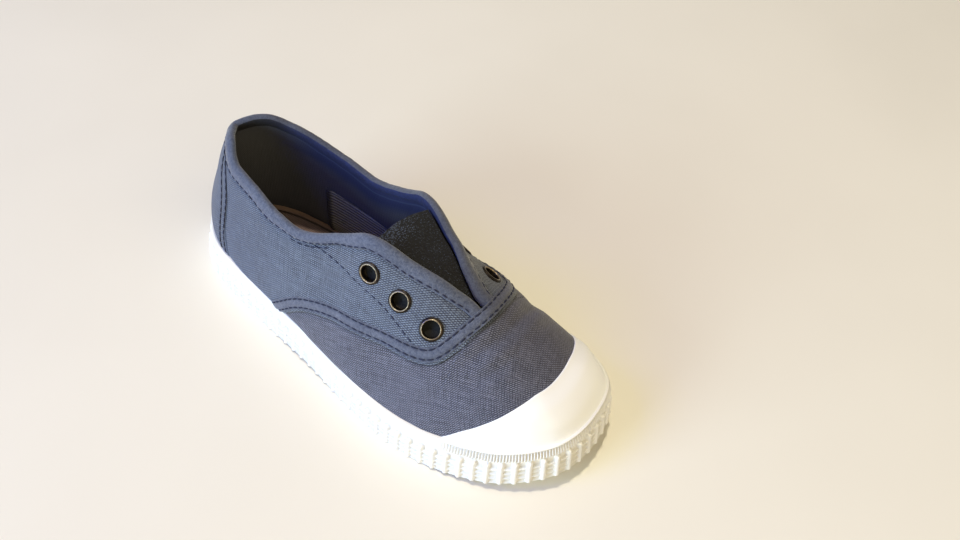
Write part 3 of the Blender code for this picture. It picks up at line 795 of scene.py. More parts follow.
def elastic_material():
    """Knitted elastic: black, with small nubs painted grey as shine, crowding together along its rear edge and
    towards the lateral side.
    """
    nodes = Nodes("elastic_knit")
    place, _, from_rear = nodes.cloth()
    cells = nodes.add("ShaderNodeTexVoronoi", {"Vector": place, "Scale": 1.9, "Randomness": 0.9}).outputs[0]
    nubs = nodes.noise(place, 2.0, detail=3.0, roughness=0.65)
    height = nodes.scaled(nubs, 0.9, nodes.math("SUBTRACT", 0.55, cells))
    rear = nodes.ramp(nodes.scaled(nubs, 4.0, from_rear), 5.5, 9.5, 1.0, 0.0)
    lateral = nodes.ramp(nodes.axis(0), -4 * MM, 8 * MM, 1.0, 0.2)
    level = nodes.scaled(nodes.math("MULTIPLY", rear, lateral), -0.26, 0.74)
    # Painted shine: the nubs' grey, strongest along the rear edge and towards the lateral side.
    shine = nodes.ramp(nodes.math("SUBTRACT", height, level), 0.0, 0.12)
    knit = nodes.blend(height, 0.45, 0.8, *ELASTIC_COLOURS)
    colour = nodes.mix(nodes.math("MULTIPLY", shine, 0.8), knit, NUB_SHINE_COLOUR)
    return nodes.finish(colour, 0.85, nodes.bump(height, 0.55, 0.9), Sheen_Weight=0.03)


def lining_material():
    """Navy lining: painted blue window light under the collar at the waist, painted charcoal shade lower down
    and round the heel.
    """
    nodes = Nodes("lining")
    _, across, depth = nodes.cloth()
    height = weave(nodes, across, depth, LINING_PITCH)
    wavy = nodes.scaled(nodes.noise(nodes.solid, 70.0, detail=3.0), 3.5, depth)
    fold = nodes.math("ABSOLUTE", nodes.math("SUBTRACT", wavy, FOLD_DEPTH))
    lit_lining = nodes.blend(height, 0.1, 0.9, *LIT_LINING_COLOURS)
    # A painted highlight along a fold under the collar.
    lit_lining = nodes.blend(fold, 0.15, 0.6, lit_lining, FOLD_HIGHLIGHT, 0.4, 0.0)
    # Painted shade: charcoal lower down and round the heel.
    deep = nodes.blend(height, 0.1, 0.9, *SHADED_LINING_COLOURS)
    shaded = nodes.math("MAXIMUM", nodes.ramp(wavy, LINING_SHADE_FROM, LINING_SHADE_TO), nodes.tone(1, HEEL_SHADE, 1.0))
    return nodes.finish(nodes.mix(shaded, lit_lining, deep), 0.9, nodes.bump(height, 0.08, 0.6))


def ribbed_material():
    """The brown-grey ribbed cloth of the patch inside the waist."""
    nodes = Nodes("ribbed_patch")
    place, _, depth = nodes.cloth()
    wave = nodes.math("SINE", nodes.math("MULTIPLY", depth, 2 * math.pi / PATCH_PITCH))
    ribs = nodes.scaled(wave, 0.5, 0.5)
    colour = nodes.blend(ribs, 0.2, 0.9, *PATCH_COLOURS)
    colour = nodes.blend(nodes.noise(place, 1.6), 0.45, 0.75, colour, PATCH_FLECK, end=0.5)
    colour = nodes.pressed(colour, PATCH_STRIP)
    return nodes.finish(colour, 0.9, nodes.bump(ribs, 0.25, 0.8))


def sock_material():
    """Brown sock: a painted highlight makes its rim paler and warmer where it turns up the wall, with a dark
    line inside it.
    """
    nodes = Nodes("brown_sock")
    _, across, along = nodes.cloth()
    height = weave(nodes, across, along, WEAVE_PITCH)
    cloud = nodes.noise(nodes.solid, 60.0, detail=3.0)
    level = nodes.axis(2)
    from_line = nodes.math("ABSOLUTE", nodes.math("SUBTRACT", level, SOCK_LINE_AT * MM))
    colour = nodes.blend(height, 0.1, 0.9, *SOCK_COLOURS)
    colour = nodes.blend(cloud, 0.4, 0.7, colour, SOCK_WORN, end=0.4)
    # Painted highlight on the rim where it turns up.
    colour = nodes.blend(level, SOCK_RIM_FROM * MM, SOCK_RIM_TO * MM, colour, SOCK_RIM_HIGHLIGHT)
    colour = nodes.blend(from_line, 0.05 * MM, 0.2 * MM, colour, SOCK_LINE, 0.85, 0.0)
    return nodes.finish(colour, 0.88, nodes.bump(height, 0.08, 0.6))


def metal_material(name, colour, stain, roughness):
    nodes = Nodes(name)
    patina = nodes.noise(nodes.solid, 900.0, detail=3.0)
    worn = nodes.blend(patina, 0.35, 0.7, colour, stain)
    rough = nodes.ramp(patina, 0.3, 0.7, roughness, roughness + 0.2)
    return nodes.finish(worn, rough, nodes.bump(patina, 0.03, 0.4), Metallic=1.0)


def floor_material():
    nodes = Nodes("pale_floor")
    cloud = nodes.noise(nodes.solid, 6.0, detail=3.0)
    return nodes.finish(nodes.blend(cloud, 0.3, 0.7, *FLOOR_COLOURS), nodes.ramp(cloud, 0.3, 0.7, 0.5, 0.6))


shaded_vamp_canvas = canvas_material("shaded_vamp_canvas", *SHADED_VAMP_COLOURS)
lit_quarter_canvas = canvas_material("lit_quarter_canvas", *LIT_QUARTER_COLOURS)
tape = felt_material("brushed_tape", *TAPE_COLOURS)
binding = felt_material("brushed_binding", *BINDING_COLOURS)
shaded_inner_binding = felt_material("shaded_inner_binding", *SHADED_INNER_BINDING_COLOURS, sheen=0.0, heel_shade=True)
white_rubber = rubber_material("white_rubber", *WHITE_COLOURS)
cap_rubber = rubber_material("cap_rubber", *CAP_COLOURS, roughness=0.34)
thread = thread_material()
elastic = elastic_material()
lining = lining_material()
ribbed = ribbed_material()
sock = sock_material()
gunmetal = metal_material("gunmetal", *GUNMETAL_COLOURS, 0.36)
bright_brass = metal_material("bright_brass", *BRASS_COLOURS, 0.34)
hole_backing = felt_material("hole_backing", *BACKING_COLOURS, sheen=0.0)

# ---- upper ----

# How far each layer stands off the last.
VAMP_LEVEL, QUARTER_LEVEL, STAY_LEVEL, TAPE_LEVEL, LINING_LEVEL = -0.15, 0.35, 0.75, 0.7, -1.9
# The lowest share of the canvas that is modelled; the foxing hides what lies below.
SHEET_FOOT = 0.08
# Eyelet centres on the last, the same on both sides: (along, share).
EYELETS = ((104.5, 0.508), (116.6, 0.594), (129.0, 0.676))
EYELET_HOLE = 3.35
# Soft creases pressed into the vamp: (along, share, side, heading in degrees, length, width, depth).
CREASES = (
    (146.0, 0.9, LATERAL, 78.0, 26.0, 3.4, 0.75),
    (150.5, 0.75, LATERAL, 62.0, 20.0, 3.0, 0.55),
    (146.0, 0.8, MEDIAL, 100.0, 22.0, 3.2, 0.6),
    (140.0, 0.42, LATERAL, 35.0, 18.0, 3.5, 0.45),
    (139.0, 0.45, MEDIAL, 145.0, 20.0, 3.5, 0.5),
)
# Where the vamp starts, where it begins to reach the ridge, and its tuck under the seam, in share.
VAMP_FROM, VAMP_WHOLE, VAMP_TUCK = 48.0, 140.0, 0.05
# How many columns and rows each sheet has; the lining's columns go round the heel, and then over the toe.
VAMP_GRID, STAY_GRID, LINING_GRID = (520, 76), (90, 60), (420, 160, 46)
# The vamp's cloth in millimetres for a radian across and for a millimetre back, and its two threads' ways in
# those.
VAMP_GIRTH, VAMP_BACK, VAMP_THREADS = 33.0, 1.08, ((-0.95, -0.31), (0.33, -0.94))
# The quarters' rows between their front edge and the collar, (from, to, count) as shares of that way, how far
# apart their columns are, and how much cloth a share of the wall takes.
QUARTER_BANDS = ((0.0, 0.03, 4), (0.03, 0.16, 11), (0.16, 0.86, 39), (0.86, 1.0, 12))
QUARTER_SPACING, QUARTER_THREADS = 0.55, 62.0
# How much of the canvas's swell over the foxing the lining keeps out of.
LINING_SWELL = 0.9


def eyelet_places():
    for side, word in SIDES:
        for number, (along, share) in enumerate(EYELETS, start=1):
            yield f"eyelet_{word}_{number}", turn_at(along, side), share


def without_holes(points, faces):
    """The faces that don't lie in an eyelet's hole."""
    middles = points[faces].mean(axis=1)
    keep = np.ones(len(faces), bool)
    for _, turn, share in eyelet_places():
        keep &= np.linalg.norm(middles - last_point(turn, share), axis=1) > EYELET_HOLE
    return faces[keep]


def crease_depth(points):
    """How far the creases press the vamp in, each a trough between two low ridges."""
    depth = np.zeros(points.shape[:-1])
    for along, share, side, heading, length, width, deep in CREASES:
        middle = last_point(turn_at(along, side), share)
        way = np.array([math.sin(math.radians(heading)), -math.cos(math.radians(heading))])
        gap = points[..., :2] - middle[:2]
        ahead, beside = gap @ way, gap @ np.array([-way[1], way[0]])
        across = (beside - 0.006 * ahead**2) / width
        trough = groove(across, 0.6) - 0.5 * groove(across - 1.2, 0.6) - 0.5 * groove(across + 1.2, 0.6)
        depth += deep * trough * ease(1.4 - 2.4 * np.abs(ahead) / length)
    return depth


def cloth_sheet(name, material, turn, share, out, uv, press, holes=False, replaces=None):
    points = flat_grid(offset_point(turn, share, out))
    faces = grid_faces(*share.shape)
    if holes:
        faces = without_holes(points, faces)
    new_piece(name, points, faces, [material], replaces, flat_grid(uv), press=press)


def edge_shares(turns):
    """The share of the quarter's front edge on each turn, zero behind the seam."""
    lateral = seam_edge.turn < 0.5
    low = np.interp(turns, seam_edge.turn[lateral], seam_edge.share[lateral], left=0.0, right=1.0)
    turn, share = seam_edge.turn[~lateral], seam_edge.share[~lateral]
    order = np.argsort(turn)
    high = np.interp(turns, turn[order], share[order], left=1.0, right=0.0)
    return np.where(turns < 0.5, low, high)


def spread(turns, share):
    """The turn of each place in a grid of shares, and its point on the last."""
    turn = np.broadcast_to(turns[:, None], share.shape)
    return turn, last_point(turn, share)


def column_lengths(turn, share):
    """How far each place of a grid is from the first in its column, along the last."""
    points = last_point(turn, share)
    steps = np.linalg.norm(np.diff(points, axis=1), axis=-1)
    return np.concatenate([np.zeros((len(points), 1)), np.cumsum(steps, axis=1)], axis=1)


def row_groove_shade(points, rows):
    """How much painted shade lies in the groove along rows of stitches, from 0 to 1."""
    nearest = np.min([row.distance(points) for row in rows], axis=0)
    return 0.9 * groove(nearest, 0.45) + 0.1 * groove(nearest, 1.2)


def vamp_threads(points):
    """Places on the vamp's cloth, spread flat over the toe."""
    aside = points[..., 0] - CENTRE_ACROSS + smooth_rows(CENTRE_ALONG - points[..., 1], RIDGE, 2)
    over = VAMP_GIRTH * np.arctan2(aside, np.maximum(points[..., 2] - 10.0, 0.0) + 0.5)
    back = VAMP_BACK * points[..., 1]
    return joined(*(way[0] * over + way[1] * back for way in VAMP_THREADS))


def make_vamp():
    """The canvas of the toe and forefoot, tucked under the quarters' front edge."""
    columns, rows = VAMP_GRID
    turns = np.linspace(turn_at(VAMP_FROM, LATERAL), turn_at(VAMP_FROM, MEDIAL), columns)
    under_seam = np.minimum(edge_shares(turns) + VAMP_TUCK, 1.0)
    top = np.maximum(np.where(along_of(turns) > VAMP_WHOLE, 1.0, under_seam), SHEET_FOOT + 0.01)
    share = SHEET_FOOT + (top[:, None] - SHEET_FOOT) * np.linspace(0.0, 1.0, rows)
    turn, points = spread(turns, share)
    from_seam = seam_edge.distance(points)
    out = VAMP_LEVEL + 0.16 * wander(points, 15.0, 3) - crease_depth(points) - 0.1 * groove(from_seam, 1.2)
    # Painted shade along the quarters' edge where it lies over the vamp.
    press = 0.75 * groove(np.clip(from_seam - 0.1, 0.0, None), 0.5)
    uv = vamp_threads(points)
    cloth_sheet("canvas_vamp", shaded_vamp_canvas, turn, share, out, uv, press, replaces=["upper"])


def spaced_turns():
    """Turns along the quarter: even on the surface in front, where its edge climbs, and round the heel."""
    lateral = seam_edge.turn[seam_edge.turn < 0.5]
    medial = seam_edge.turn[seam_edge.turn > 0.5]
    back = int(round((lateral[0] + 1.0 - medial[-1]) * OUTLINE_LENGTH / QUARTER_SPACING))
    around = np.linspace(lateral[0], medial[-1] - 1.0, back)[1:-1]
    return np.concatenate([np.sort(lateral)[::-1], around, (np.sort(medial) - 1.0)[::-1]])


def quarter_out(points):
    """How far the quarter stands off the last, with its seams pressed in and its raw edge rounded."""
    out = QUARTER_LEVEL + 0.1 * wander(points, 13.0, 5) + 0.12 * wander(points, 30.0, 6)
    for row, depth, width in ((seam_lower, 0.22, 0.55), (binding_row, 0.3, 0.9)):
        out -= depth * groove(row.distance(points), width)
    for seam in inner_seams:
        out -= 0.08 * groove(seam.distance(points), 0.8)
    out -= 0.22 * (1.0 - ease(seam_edge.distance(points) / 0.6))
    return out


def make_quarters():
    """Both quarters in one sheet, whose first two rows turn down at the front edge."""
    turns = spaced_turns()
    high = np.where(along_of(turns) > THROAT_END, 1.0, topline_at(turns))
    low = np.clip(edge_shares(np.mod(turns, 1.0)), SHEET_FOOT, high - 0.004)
    steps = np.concatenate([*(np.linspace(*band, endpoint=False) for band in QUARTER_BANDS), [1.0]])
    share = low[:, None] + (high - low)[:, None] * np.concatenate([[0.0, 0.0], steps])
    turn, points = spread(turns, share)
    out = quarter_out(points)
    out[:, 0] = VAMP_LEVEL - 0.35
    out[:, 1] = VAMP_LEVEL + 0.1
    uv = joined(-column_lengths(turn, share) - QUARTER_THREADS * low[:, None], turn * OUTLINE_LENGTH)
    press = row_groove_shade(points, [seam_lower, binding_row])
    cloth_sheet("canvas_quarters", lit_quarter_canvas, turn, share, out, uv, press, holes=True)


def make_heel_stay():
    """The strip of canvas up the back of the heel, over the ends of the quarters."""
    columns, rows = STAY_GRID
    shares = np.linspace(0.0, 1.0, rows)
    edge_along, edge_share = np.array(STAY_OUTER).T
    ends = np.interp(shares * float(smooth_rows(8.0, TOPLINE)), edge_share, edge_along) + STAY_MARGIN
    start, end = turn_at(ends, MEDIAL) - 1.0, turn_at(ends, LATERAL)
    across = np.concatenate([[0.0, 0.0], np.linspace(0.0, 1.0, columns)[1:-1], [1.0, 1.0]])[:, None]
    turn = start + (end - start) * across
    share = SHEET_FOOT + (topline_at(turn) - SHEET_FOOT) * shares
    points = last_point(turn, share)
    out = STAY_LEVEL + 0.08 * wander(points, 12.0, 9)
    for row in stay_rows:
        out -= 0.26 * groove(row.distance(points), 0.6)
    out -= 0.3 * groove(binding_row.distance(points), 0.9)
    out[[0, -1]] = QUARTER_LEVEL - 0.3
    out[[1, -2]] -= 0.2
    uv = joined(-column_lengths(turn, share), turn * OUTLINE_LENGTH)
    press = row_groove_shade(points, [*stay_rows, binding_row])
    cloth_sheet("canvas_heel_stay", lit_quarter_canvas, turn, share, out, uv, press)


def lining_out(points, along, share):
    """How far the lining stands off the last."""
    return LINING_LEVEL + 0.15 * wander(points, 14.0, 11) - LINING_SWELL * flare(along, share)


def make_lining():
    heel, toe, rows = LINING_GRID
    start, end = turn_at(THROAT_END, LATERAL), turn_at(THROAT_END, MEDIAL)
    turns = np.concatenate([np.linspace(start, end - 1.0, heel), np.linspace(end, start, toe)[1:]])
    top = np.where(along_of(turns) > THROAT_END - 0.5, 0.995, topline_at(turns))
    share = np.maximum(top[:, None] * np.linspace(1.0, 0.0, rows), 0.02)
    turn, points = spread(turns, share)
    out = lining_out(points, along_of(turn), share)
    uv = joined(turn * OUTLINE_LENGTH, column_lengths(turn, share))
    points = flat_grid(offset_point(turn, share, out))
    faces = without_holes(points, grid_faces(*share.shape))
    new_piece("lining", points, faces, [lining], uv=flat_grid(uv))


# ---- strips and stitches ----

# How far the seam tape's fabric stands outside its two rows, and its crown between them.
TAPE_EDGE, TAPE_CROWN = 0.75, 0.24
# The shares where the tape goes under the foxing and where it is clear of it, and how deep it sinks there.
TAPE_HIDDEN, TAPE_CLEAR, TAPE_SINK = 0.07, 0.135, 2.2
# How far it rides up over the ends of the binding, and how far across the throat that reaches.
THROAT_LIFT, THROAT_REACH = 1.15, 5.5
# The binding in section, (to the left of the canvas edge, outwards): its outer leg, the roll and the inner
# leg, which lies deeper than INNER_LEG.
BINDING_SECTION = (
    (3.5, 0.22), (3.42, 0.52), (3.1, 0.62), (2.75, 0.6), (2.3, 0.82), (1.3, 1.05), (0.3, 1.06),
    (-0.6, 0.84), (-1.25, 0.4), (-1.62, -0.15), (-1.7, -0.75), (-1.55, -1.35), (-1.1, -1.9), (-0.3, -2.25),
    (0.7, -2.4), (1.8, -2.35), (2.8, -2.2), (3.2, -1.9), (3.0, -1.3), (2.0, -0.9), (2.6, -0.3),
)
INNER_LEG = -1.45
STITCH_PITCH, STITCH_SIDES, STITCH_RINGS = 3.0, 8, 7
# How deep a stitch's ends dive into the cloth, how high its middle arches, and how thick it is for its width.
STITCH_DIVE, STITCH_ARCH, STITCH_FLATNESS = 0.26, 0.36, 0.85


def on_last(points, out):
    """Points moved straight out or in until they stand this far off the last."""
    turn, share = settle(points)
    normal = last_normal(turn, share)
    miss = ((points - last_point(turn, share)) * normal).sum(-1)
    return points - normal * miss[:, None] + normal * out[:, None]


def strip(
    name, line, section, materials, lift, seams, settled=True, inner=None, width=1.0, replaces=None
):
    """A closed strip swept along a line; section gives (to the left, outwards) pairs round its outline.

    lift moves it outwards, seams paint groove shade on it, inner marks the part in the second material, and
    width scales its left half.
    """
    columns, rows = len(line.points), len(section)
    left = np.broadcast_to(section[:, 0], (columns, rows))
    left = np.where(left > 0.0, left * np.reshape(width, (-1, 1)), left)
    across = line.points[:, None] + line.left[:, None] * left[..., None]
    out = section[:, 1] + lift[:, None]
    if settled:
        points = on_last(flat_grid(across), out.ravel())
    else:
        points = flat_grid(across + line.normals[:, None] * out[..., None])
    faces = grid_faces(columns, rows, around=True)
    kinds = np.zeros(len(faces), int) if inner is None else inner[faces[:, 0] % rows].astype(int)
    around = arc_length(np.vstack([section, section[:1]]))[:-1]
    uv, press = flat_grid(joined(line.arc[:, None], around)), row_groove_shade(points, seams)
    piece = new_piece(name, points, faces, materials, replaces, uv, kinds, press)
    close_up(piece, [range(rows)[::-1], range((columns - 1) * rows, columns * rows)])


def tape_section():
    """The seam tape: fabric edges outside two pressed-in rows, and a soft crown between them."""
    low, high = -SEAM_WIDTH - TAPE_EDGE, TAPE_EDGE
    left = np.linspace(high, low, 25)
    crown = TAPE_CROWN * np.sin(math.pi * np.clip(-left / SEAM_WIDTH, 0.0, 1.0)) ** 0.8
    press = 0.16 * (groove(left, 0.4) + groove(left + SEAM_WIDTH, 0.4))
    top = joined(left, TAPE_LEVEL - 0.05 + crown - press)
    side = TAPE_LEVEL - 0.25
    return np.vstack([top, [(low - 0.1, side), (low - 0.05, 0.1), (high + 0.05, 0.1), (high + 0.1, side)]])


def tape_lift(line):
    """How far the tape is lifted over the ends of the binding, and sunk where it runs under the foxing."""
    across = line.points[:, 0]
    lifted = THROAT_LIFT * groove(np.abs(across - across[len(across) // 2]), THROAT_REACH)
    sunk = 1.0 - ease((line.share - TAPE_HIDDEN) / (TAPE_CLEAR - TAPE_HIDDEN))
    return lifted - TAPE_SINK * sunk


def make_seam_tape():
    lift = tape_lift(seam_upper) + 0.05 * wander(seam_upper.points, 4.0, 13)
    rows = [seam_upper, seam_lower]
    strip("seam_tape", seam_upper, tape_section(), [tape], lift, rows)


def make_binding():
    line = collar_edge
    puff = 0.1 * wander(line.points, 5.0, 17) + 0.06 * wander(line.points, 2.0, 18)
    section = resample(np.vstack([BINDING_SECTION, BINDING_SECTION[:1]]), 0.42)[:-1]
    strip(
        "collar_binding_roll", line, section, [binding, shaded_inner_binding], puff, [binding_row],
        settled=False, inner=section[:, 1] < INNER_LEG, width=1.0 - DIP_NARROWING * dip_share(line),
        replaces=["collar_binding"],
    )


def stitch_row(line, level, length, radius, seed, lift=None):
    """Points and faces of a row of stitches, each an arched capsule that dives into the cloth."""
    rng = np.random.default_rng(seed)
    count = int((line.arc[-1] - 1.0) / STITCH_PITCH)
    margin = (line.arc[-1] - count * STITCH_PITCH) / 2
    starts = margin + np.arange(count) * STITCH_PITCH + rng.uniform(-0.12, 0.12, count)
    walk = np.linspace(0.0, 1.0, STITCH_RINGS)
    bow = np.sin(math.pi * walk)
    thick = radius * np.clip(bow, 0.06, 1.0)[:, None] ** 0.35
    angles = np.arange(STITCH_SIDES) * 2 * math.pi / STITCH_SIDES
    sideways, upright = thick * np.cos(angles), STITCH_FLATNESS * thick * np.sin(angles)
    size = STITCH_RINGS * STITCH_SIDES
    ends = [list(range(STITCH_SIDES))[::-1], list(range(size - STITCH_SIDES, size))]
    shape = [*grid_faces(STITCH_RINGS, STITCH_SIDES, around=True).tolist(), *ends]
    points, faces = [], []
    for number, start in enumerate(starts):
        at = start + (STITCH_PITCH - length) / 2 + walk * length
        middle, normal, left = (
            read_columns(at, line.arc, way) for way in (line.points, line.normals, line.left)
        )
        raised = 0.0 if lift is None else np.interp(at, line.arc, lift)
        out = level + raised - STITCH_DIVE + STITCH_ARCH * bow**0.35
        skew = rng.uniform(-0.1, 0.1) * (walk - 0.5) * 2
        middle = middle + normal * out[:, None] + left * skew[:, None]
        rings = middle[:, None] + left[:, None] * sideways[..., None] + normal[:, None] * upright[..., None]
        points.append(flat_grid(rings))
        faces += [[corner + number * size for corner in face] for face in shape]
    return np.vstack(points), faces


def join_rows(name, *rows):
    """One piece from several rows of stitches."""
    points, faces, total = [], [], 0
    for row_points, row_faces in rows:
        points.append(row_points)
        faces += [[i + total for i in face] for face in row_faces]
        total += len(row_points)
    close_up(new_piece(name, np.vstack(points), faces, [thread]))


def make_stitches():
    upper, on_tape, in_cloth = seam_upper.beside(0.0), TAPE_LEVEL - 0.1, QUARTER_LEVEL - 0.1
    join_rows(
        "stitches_seam",
        stitch_row(upper, on_tape, 2.8, 0.26, 1, tape_lift(upper)),
        stitch_row(seam_lower, on_tape, 2.55, 0.26, 2, tape_lift(seam_lower)),
        *(stitch_row(seam, in_cloth, 2.75, 0.23, 3 + i) for i, seam in enumerate(inner_seams)),
    )
    join_rows(
        "stitches_collar",
        stitch_row(binding_row, 0.64, 2.8, 0.28, 7),
        *(stitch_row(row, QUARTER_LEVEL, 2.9, 0.23, 21 + i) for i, row in enumerate(dip_rows)),
    )
    join_rows(
        "stitches_heel",
        *(stitch_row(row, STAY_LEVEL - 0.06, 2.9, 0.23, 11 + i) for i, row in enumerate(stay_rows)),
    )


make_vamp()
make_quarters()
make_heel_stay()
make_lining()
make_seam_tape()
make_binding()
make_stitches()

# ---- throat and inside ----

GUSSET_REARS, GUSSET_FRONT, GUSSET_WALL = (103.0, 106.0), 145.0, 1.0
# How deep the elastic lies under the last at the canvas edge, and how much deeper where it is tucked in.
GUSSET_DEPTH, GUSSET_SINK = 2.9, 1.3
# How far it is tucked in, in share, from its rear edge through two places along to its front.
GUSSET_TUCK, GUSSET_TUCK_AT, GUSSET_LEAST_SPAN = (0.14, 0.3, 0.36), (115.0, 130.0), 0.07
# How far the rear edge bulges between the sides, over what length that fades, and the bow of the rest.
GUSSET_BULGE, GUSSET_FADE, GUSSET_BOW = (0.0, 1.2, 0.3), 9.0, (0.0, 0.0, 0.6)
GUSSET_ROWS = 110
# The ribbed patch on the inner wall, forward from the waist: its upper edge as (along, share).
PATCH_TOP = ((48.6, 0.322), (63.9, 0.306), (76.2, 0.299), (100.0, 0.29))
PATCH_FOOT, PATCH_LEVEL, PATCH_WALL, PATCH_SEAM = 0.035, 0.55, 0.3, 1.6
# The sock reaches this far inside the outline; its bottom's height, thickness, and rim: width, height and
# steepness.
INSOLE_INSET, INSOLE_BOTTOM, INSOLE_THICKNESS, INSOLE_RIM = 6.6, 8.3, 3.0, (6.0, 2.2, 2.4)


def gusset_wing(side):
    """The elastic's rows on one side, from where it is tucked in to the canvas edge."""
    rows = np.linspace(GUSSET_REARS[side], GUSSET_FRONT, GUSSET_ROWS)
    turns = turn_at(rows, side)
    edge = np.minimum(topline_at(turns), 1.0 - GUSSET_LEAST_SPAN)
    widest = np.interp(rows, (GUSSET_REARS[side], *GUSSET_TUCK_AT), GUSSET_TUCK)
    return [
        offset_point(turns, edge - widest * tuck, np.full(GUSSET_ROWS, -GUSSET_DEPTH - GUSSET_SINK * tuck))
        for tuck in np.linspace(1.0, 0.0, 14)
    ]


def make_gusset():
    """Elastic held across the throat, its sides tucked under the eyestays."""
    medial, lateral = gusset_wing(MEDIAL), gusset_wing(LATERAL)
    from_rear = np.linspace(0.0, GUSSET_FRONT - GUSSET_REARS[LATERAL], GUSSET_ROWS)
    lift = np.exp(-from_rear / GUSSET_FADE)[:, None] * np.array(GUSSET_BULGE) + np.array(GUSSET_BOW)
    span = [
        medial[-1] + (lateral[-1] - medial[-1]) * share + lift * math.sin(math.pi * share)
        for share in np.linspace(0.0, 1.0, 84)[1:-1]
    ]
    top = np.stack([*medial, *span, *lateral[::-1]])
    top[..., 2] += 0.1 * wander(top, 3.0, 21) + 0.15 * wander(top, 11.0, 22)
    bottom = top - np.array([0.0, 0.0, GUSSET_WALL])
    uv = joined(top[..., 0], from_rear)
    node = ["elastic_gusset"]
    closed_sheet("elastic_panel", elastic, top, bottom, uv, replaces=node)


def make_patch(side, word):
    """A patch of ribbed cloth inside one side, with a stitched-down strip at its rear edge."""
    rows = np.linspace(PATCH_TOP[0][0], PATCH_TOP[-1][0], 90)
    high = smooth_rows(rows, PATCH_TOP)
    share = PATCH_FOOT + (high - PATCH_FOOT)[:, None] * np.linspace(0.0, 1.0, 26)
    turn, points = spread(turn_at(rows, side), share)
    level = lining_out(points, rows[:, None], share) - PATCH_LEVEL
    from_strip = rows - rows[0] - PATCH_SEAM
    top = offset_point(turn, share, level - 0.35 * groove(from_strip[:, None], 0.9))
    bottom = offset_point(turn, share, level + PATCH_WALL)
    uv = joined(rows[:, None], column_lengths(turn, share))
    seam = 1.0 - ease(from_strip / PATCH_SEAM)
    press = np.broadcast_to(0.85 * seam[:, None], share.shape)
    closed_sheet(f"inner_patch_{word}", ribbed, top, bottom, uv, press)


def chord_grid(inset, stations, across):
    """(along, across) on straight lines across the sole, from its lateral outline to its medial one."""
    turns = np.linspace(0.0, 0.5, stations + 2)[1:-1]
    lateral, medial = ring(turns, inset), ring(1.0 - turns, inset)
    share = np.linspace(0.0, 1.0, across)[None, :, None]
    return lateral[:, None] + (medial - lateral)[:, None] * share


def edge_nearness(place, inset, reach):
    """1 at the outline moved in by inset, falling to 0 at reach further in."""
    edge = ring(np.linspace(0.0, 1.0, 1200, endpoint=False), inset)
    outline = search_tree([(*point, 0.0) for point in edge])
    gaps = [outline.find((*point, 0.0))[2] for point in place.reshape(-1, 2)]
    return np.clip(1.0 - np.array(gaps).reshape(place.shape[:2]) / reach, 0.0, 1.0)


def make_insole():
    width, height, steepness = INSOLE_RIM
    place = chord_grid(INSOLE_INSET, 200, 56)
    along, across = place[..., 0], place[..., 1]
    rim = height * edge_nearness(place, INSOLE_INSET, width) ** steepness
    top = to_world(along, across, INSOLE_BOTTOM + INSOLE_THICKNESS + toe_rise(along) + rim)
    top[..., 2] += 0.15 * wander(top, 20.0, 25)
    bottom = top.copy()
    bottom[..., 2] = INSOLE_BOTTOM + toe_rise(along) + 0.2
    closed_sheet("sock", sock, top, bottom, top[..., :2], replaces=["insole"])


# ---- eyelets ----

EYELET_SIDES = 56
# The eyelet in section, (radius, height over the canvas), from its outer foot over the lip to the barrel and
# the dark backing that closes it.
EYELET_FLANGE = ((3.98, -0.25), (4.0, 0.1), (3.92, 0.3), (3.75, 0.44), (3.5, 0.5), (3.32, 0.52))
EYELET_LIP = ((3.26, 0.57), (3.16, 0.61), (3.05, 0.57), (2.96, 0.44), (2.92, 0.22))
EYELET_BARREL = ((2.88, -0.1), (2.84, -1.0), (2.8, -1.9))
EYELET_BACK = ((0.03, -2.0), (0.03, -2.5), (3.3, -2.5), (3.3, -1.0), (3.1, -0.4))


def make_eyelet(name, turn, share):
    section = np.array(EYELET_FLANGE + EYELET_LIP + EYELET_BARREL + EYELET_BACK)
    radius, height = section.T
    angles = (np.arange(EYELET_SIDES) * 2 * math.pi / EYELET_SIDES)[:, None]
    local = joined(radius * np.cos(angles), radius * np.sin(angles), height)
    normal = last_normal(turn, share)
    aside = unit(np.cross(normal, (0.0, 1.0, 0.2)))
    basis = np.stack([aside, np.cross(normal, aside), normal])
    points = last_point(turn, share) + QUARTER_LEVEL * normal + local @ basis
    faces = grid_faces(EYELET_SIDES, len(section), closed=True, around=True)
    row, lip_from = faces[:, 0] % len(section), len(EYELET_FLANGE) - 1
    lip = (row >= lip_from) & (row < lip_from + len(EYELET_LIP))
    backing = row == lip_from + len(EYELET_LIP) + len(EYELET_BARREL)
    new_piece(
        f"metal_{name}", flat_grid(points), faces, [gunmetal, bright_brass, hole_backing],
        replaces=[name], face_materials=lip + 2 * backing,
    )


# ---- toe cap ----

# The cap's rear edge: (along, share).
CAP_EDGE = (
    (140.0, 0.08), (144.8, 0.188), (148.3, 0.258), (155.0, 0.383), (160.2, 0.5), (165.5, 0.615),
    (169.6, 0.692), (175.4, 0.79), (184.0, 0.87),
)
# The top of the foxing's lip, and how far the cap's foot goes below it.
LIP_HEIGHT, LIP_INSET, CAP_BELOW = 14.75, 2.75, 0.6
# The cap's thickness at its edge and in the middle, how far from the edge it gets there, and how that edge
# is rounded.
CAP_EDGE_WALL, CAP_WALL, CAP_THICKEN, CAP_ROUND = 0.3, 1.35, 9.0, 0.5
# How far up the cap flows out to the lip, how suddenly, and over what height that fades at its two ends.
CAP_FLOW, CAP_FLOW_POWER, CAP_END = 2.6, 1.2, 4.0
# The share's length on the toe's wall, in millimetres.
SHARE_LENGTH = 52.0
# The cap's columns and rows, how the rows crowd at its edge, and the least share that a column of it takes.
CAP_GRID, CAP_CROWD, CAP_LEAST_SPAN = (420, 60), 1.4, 0.008


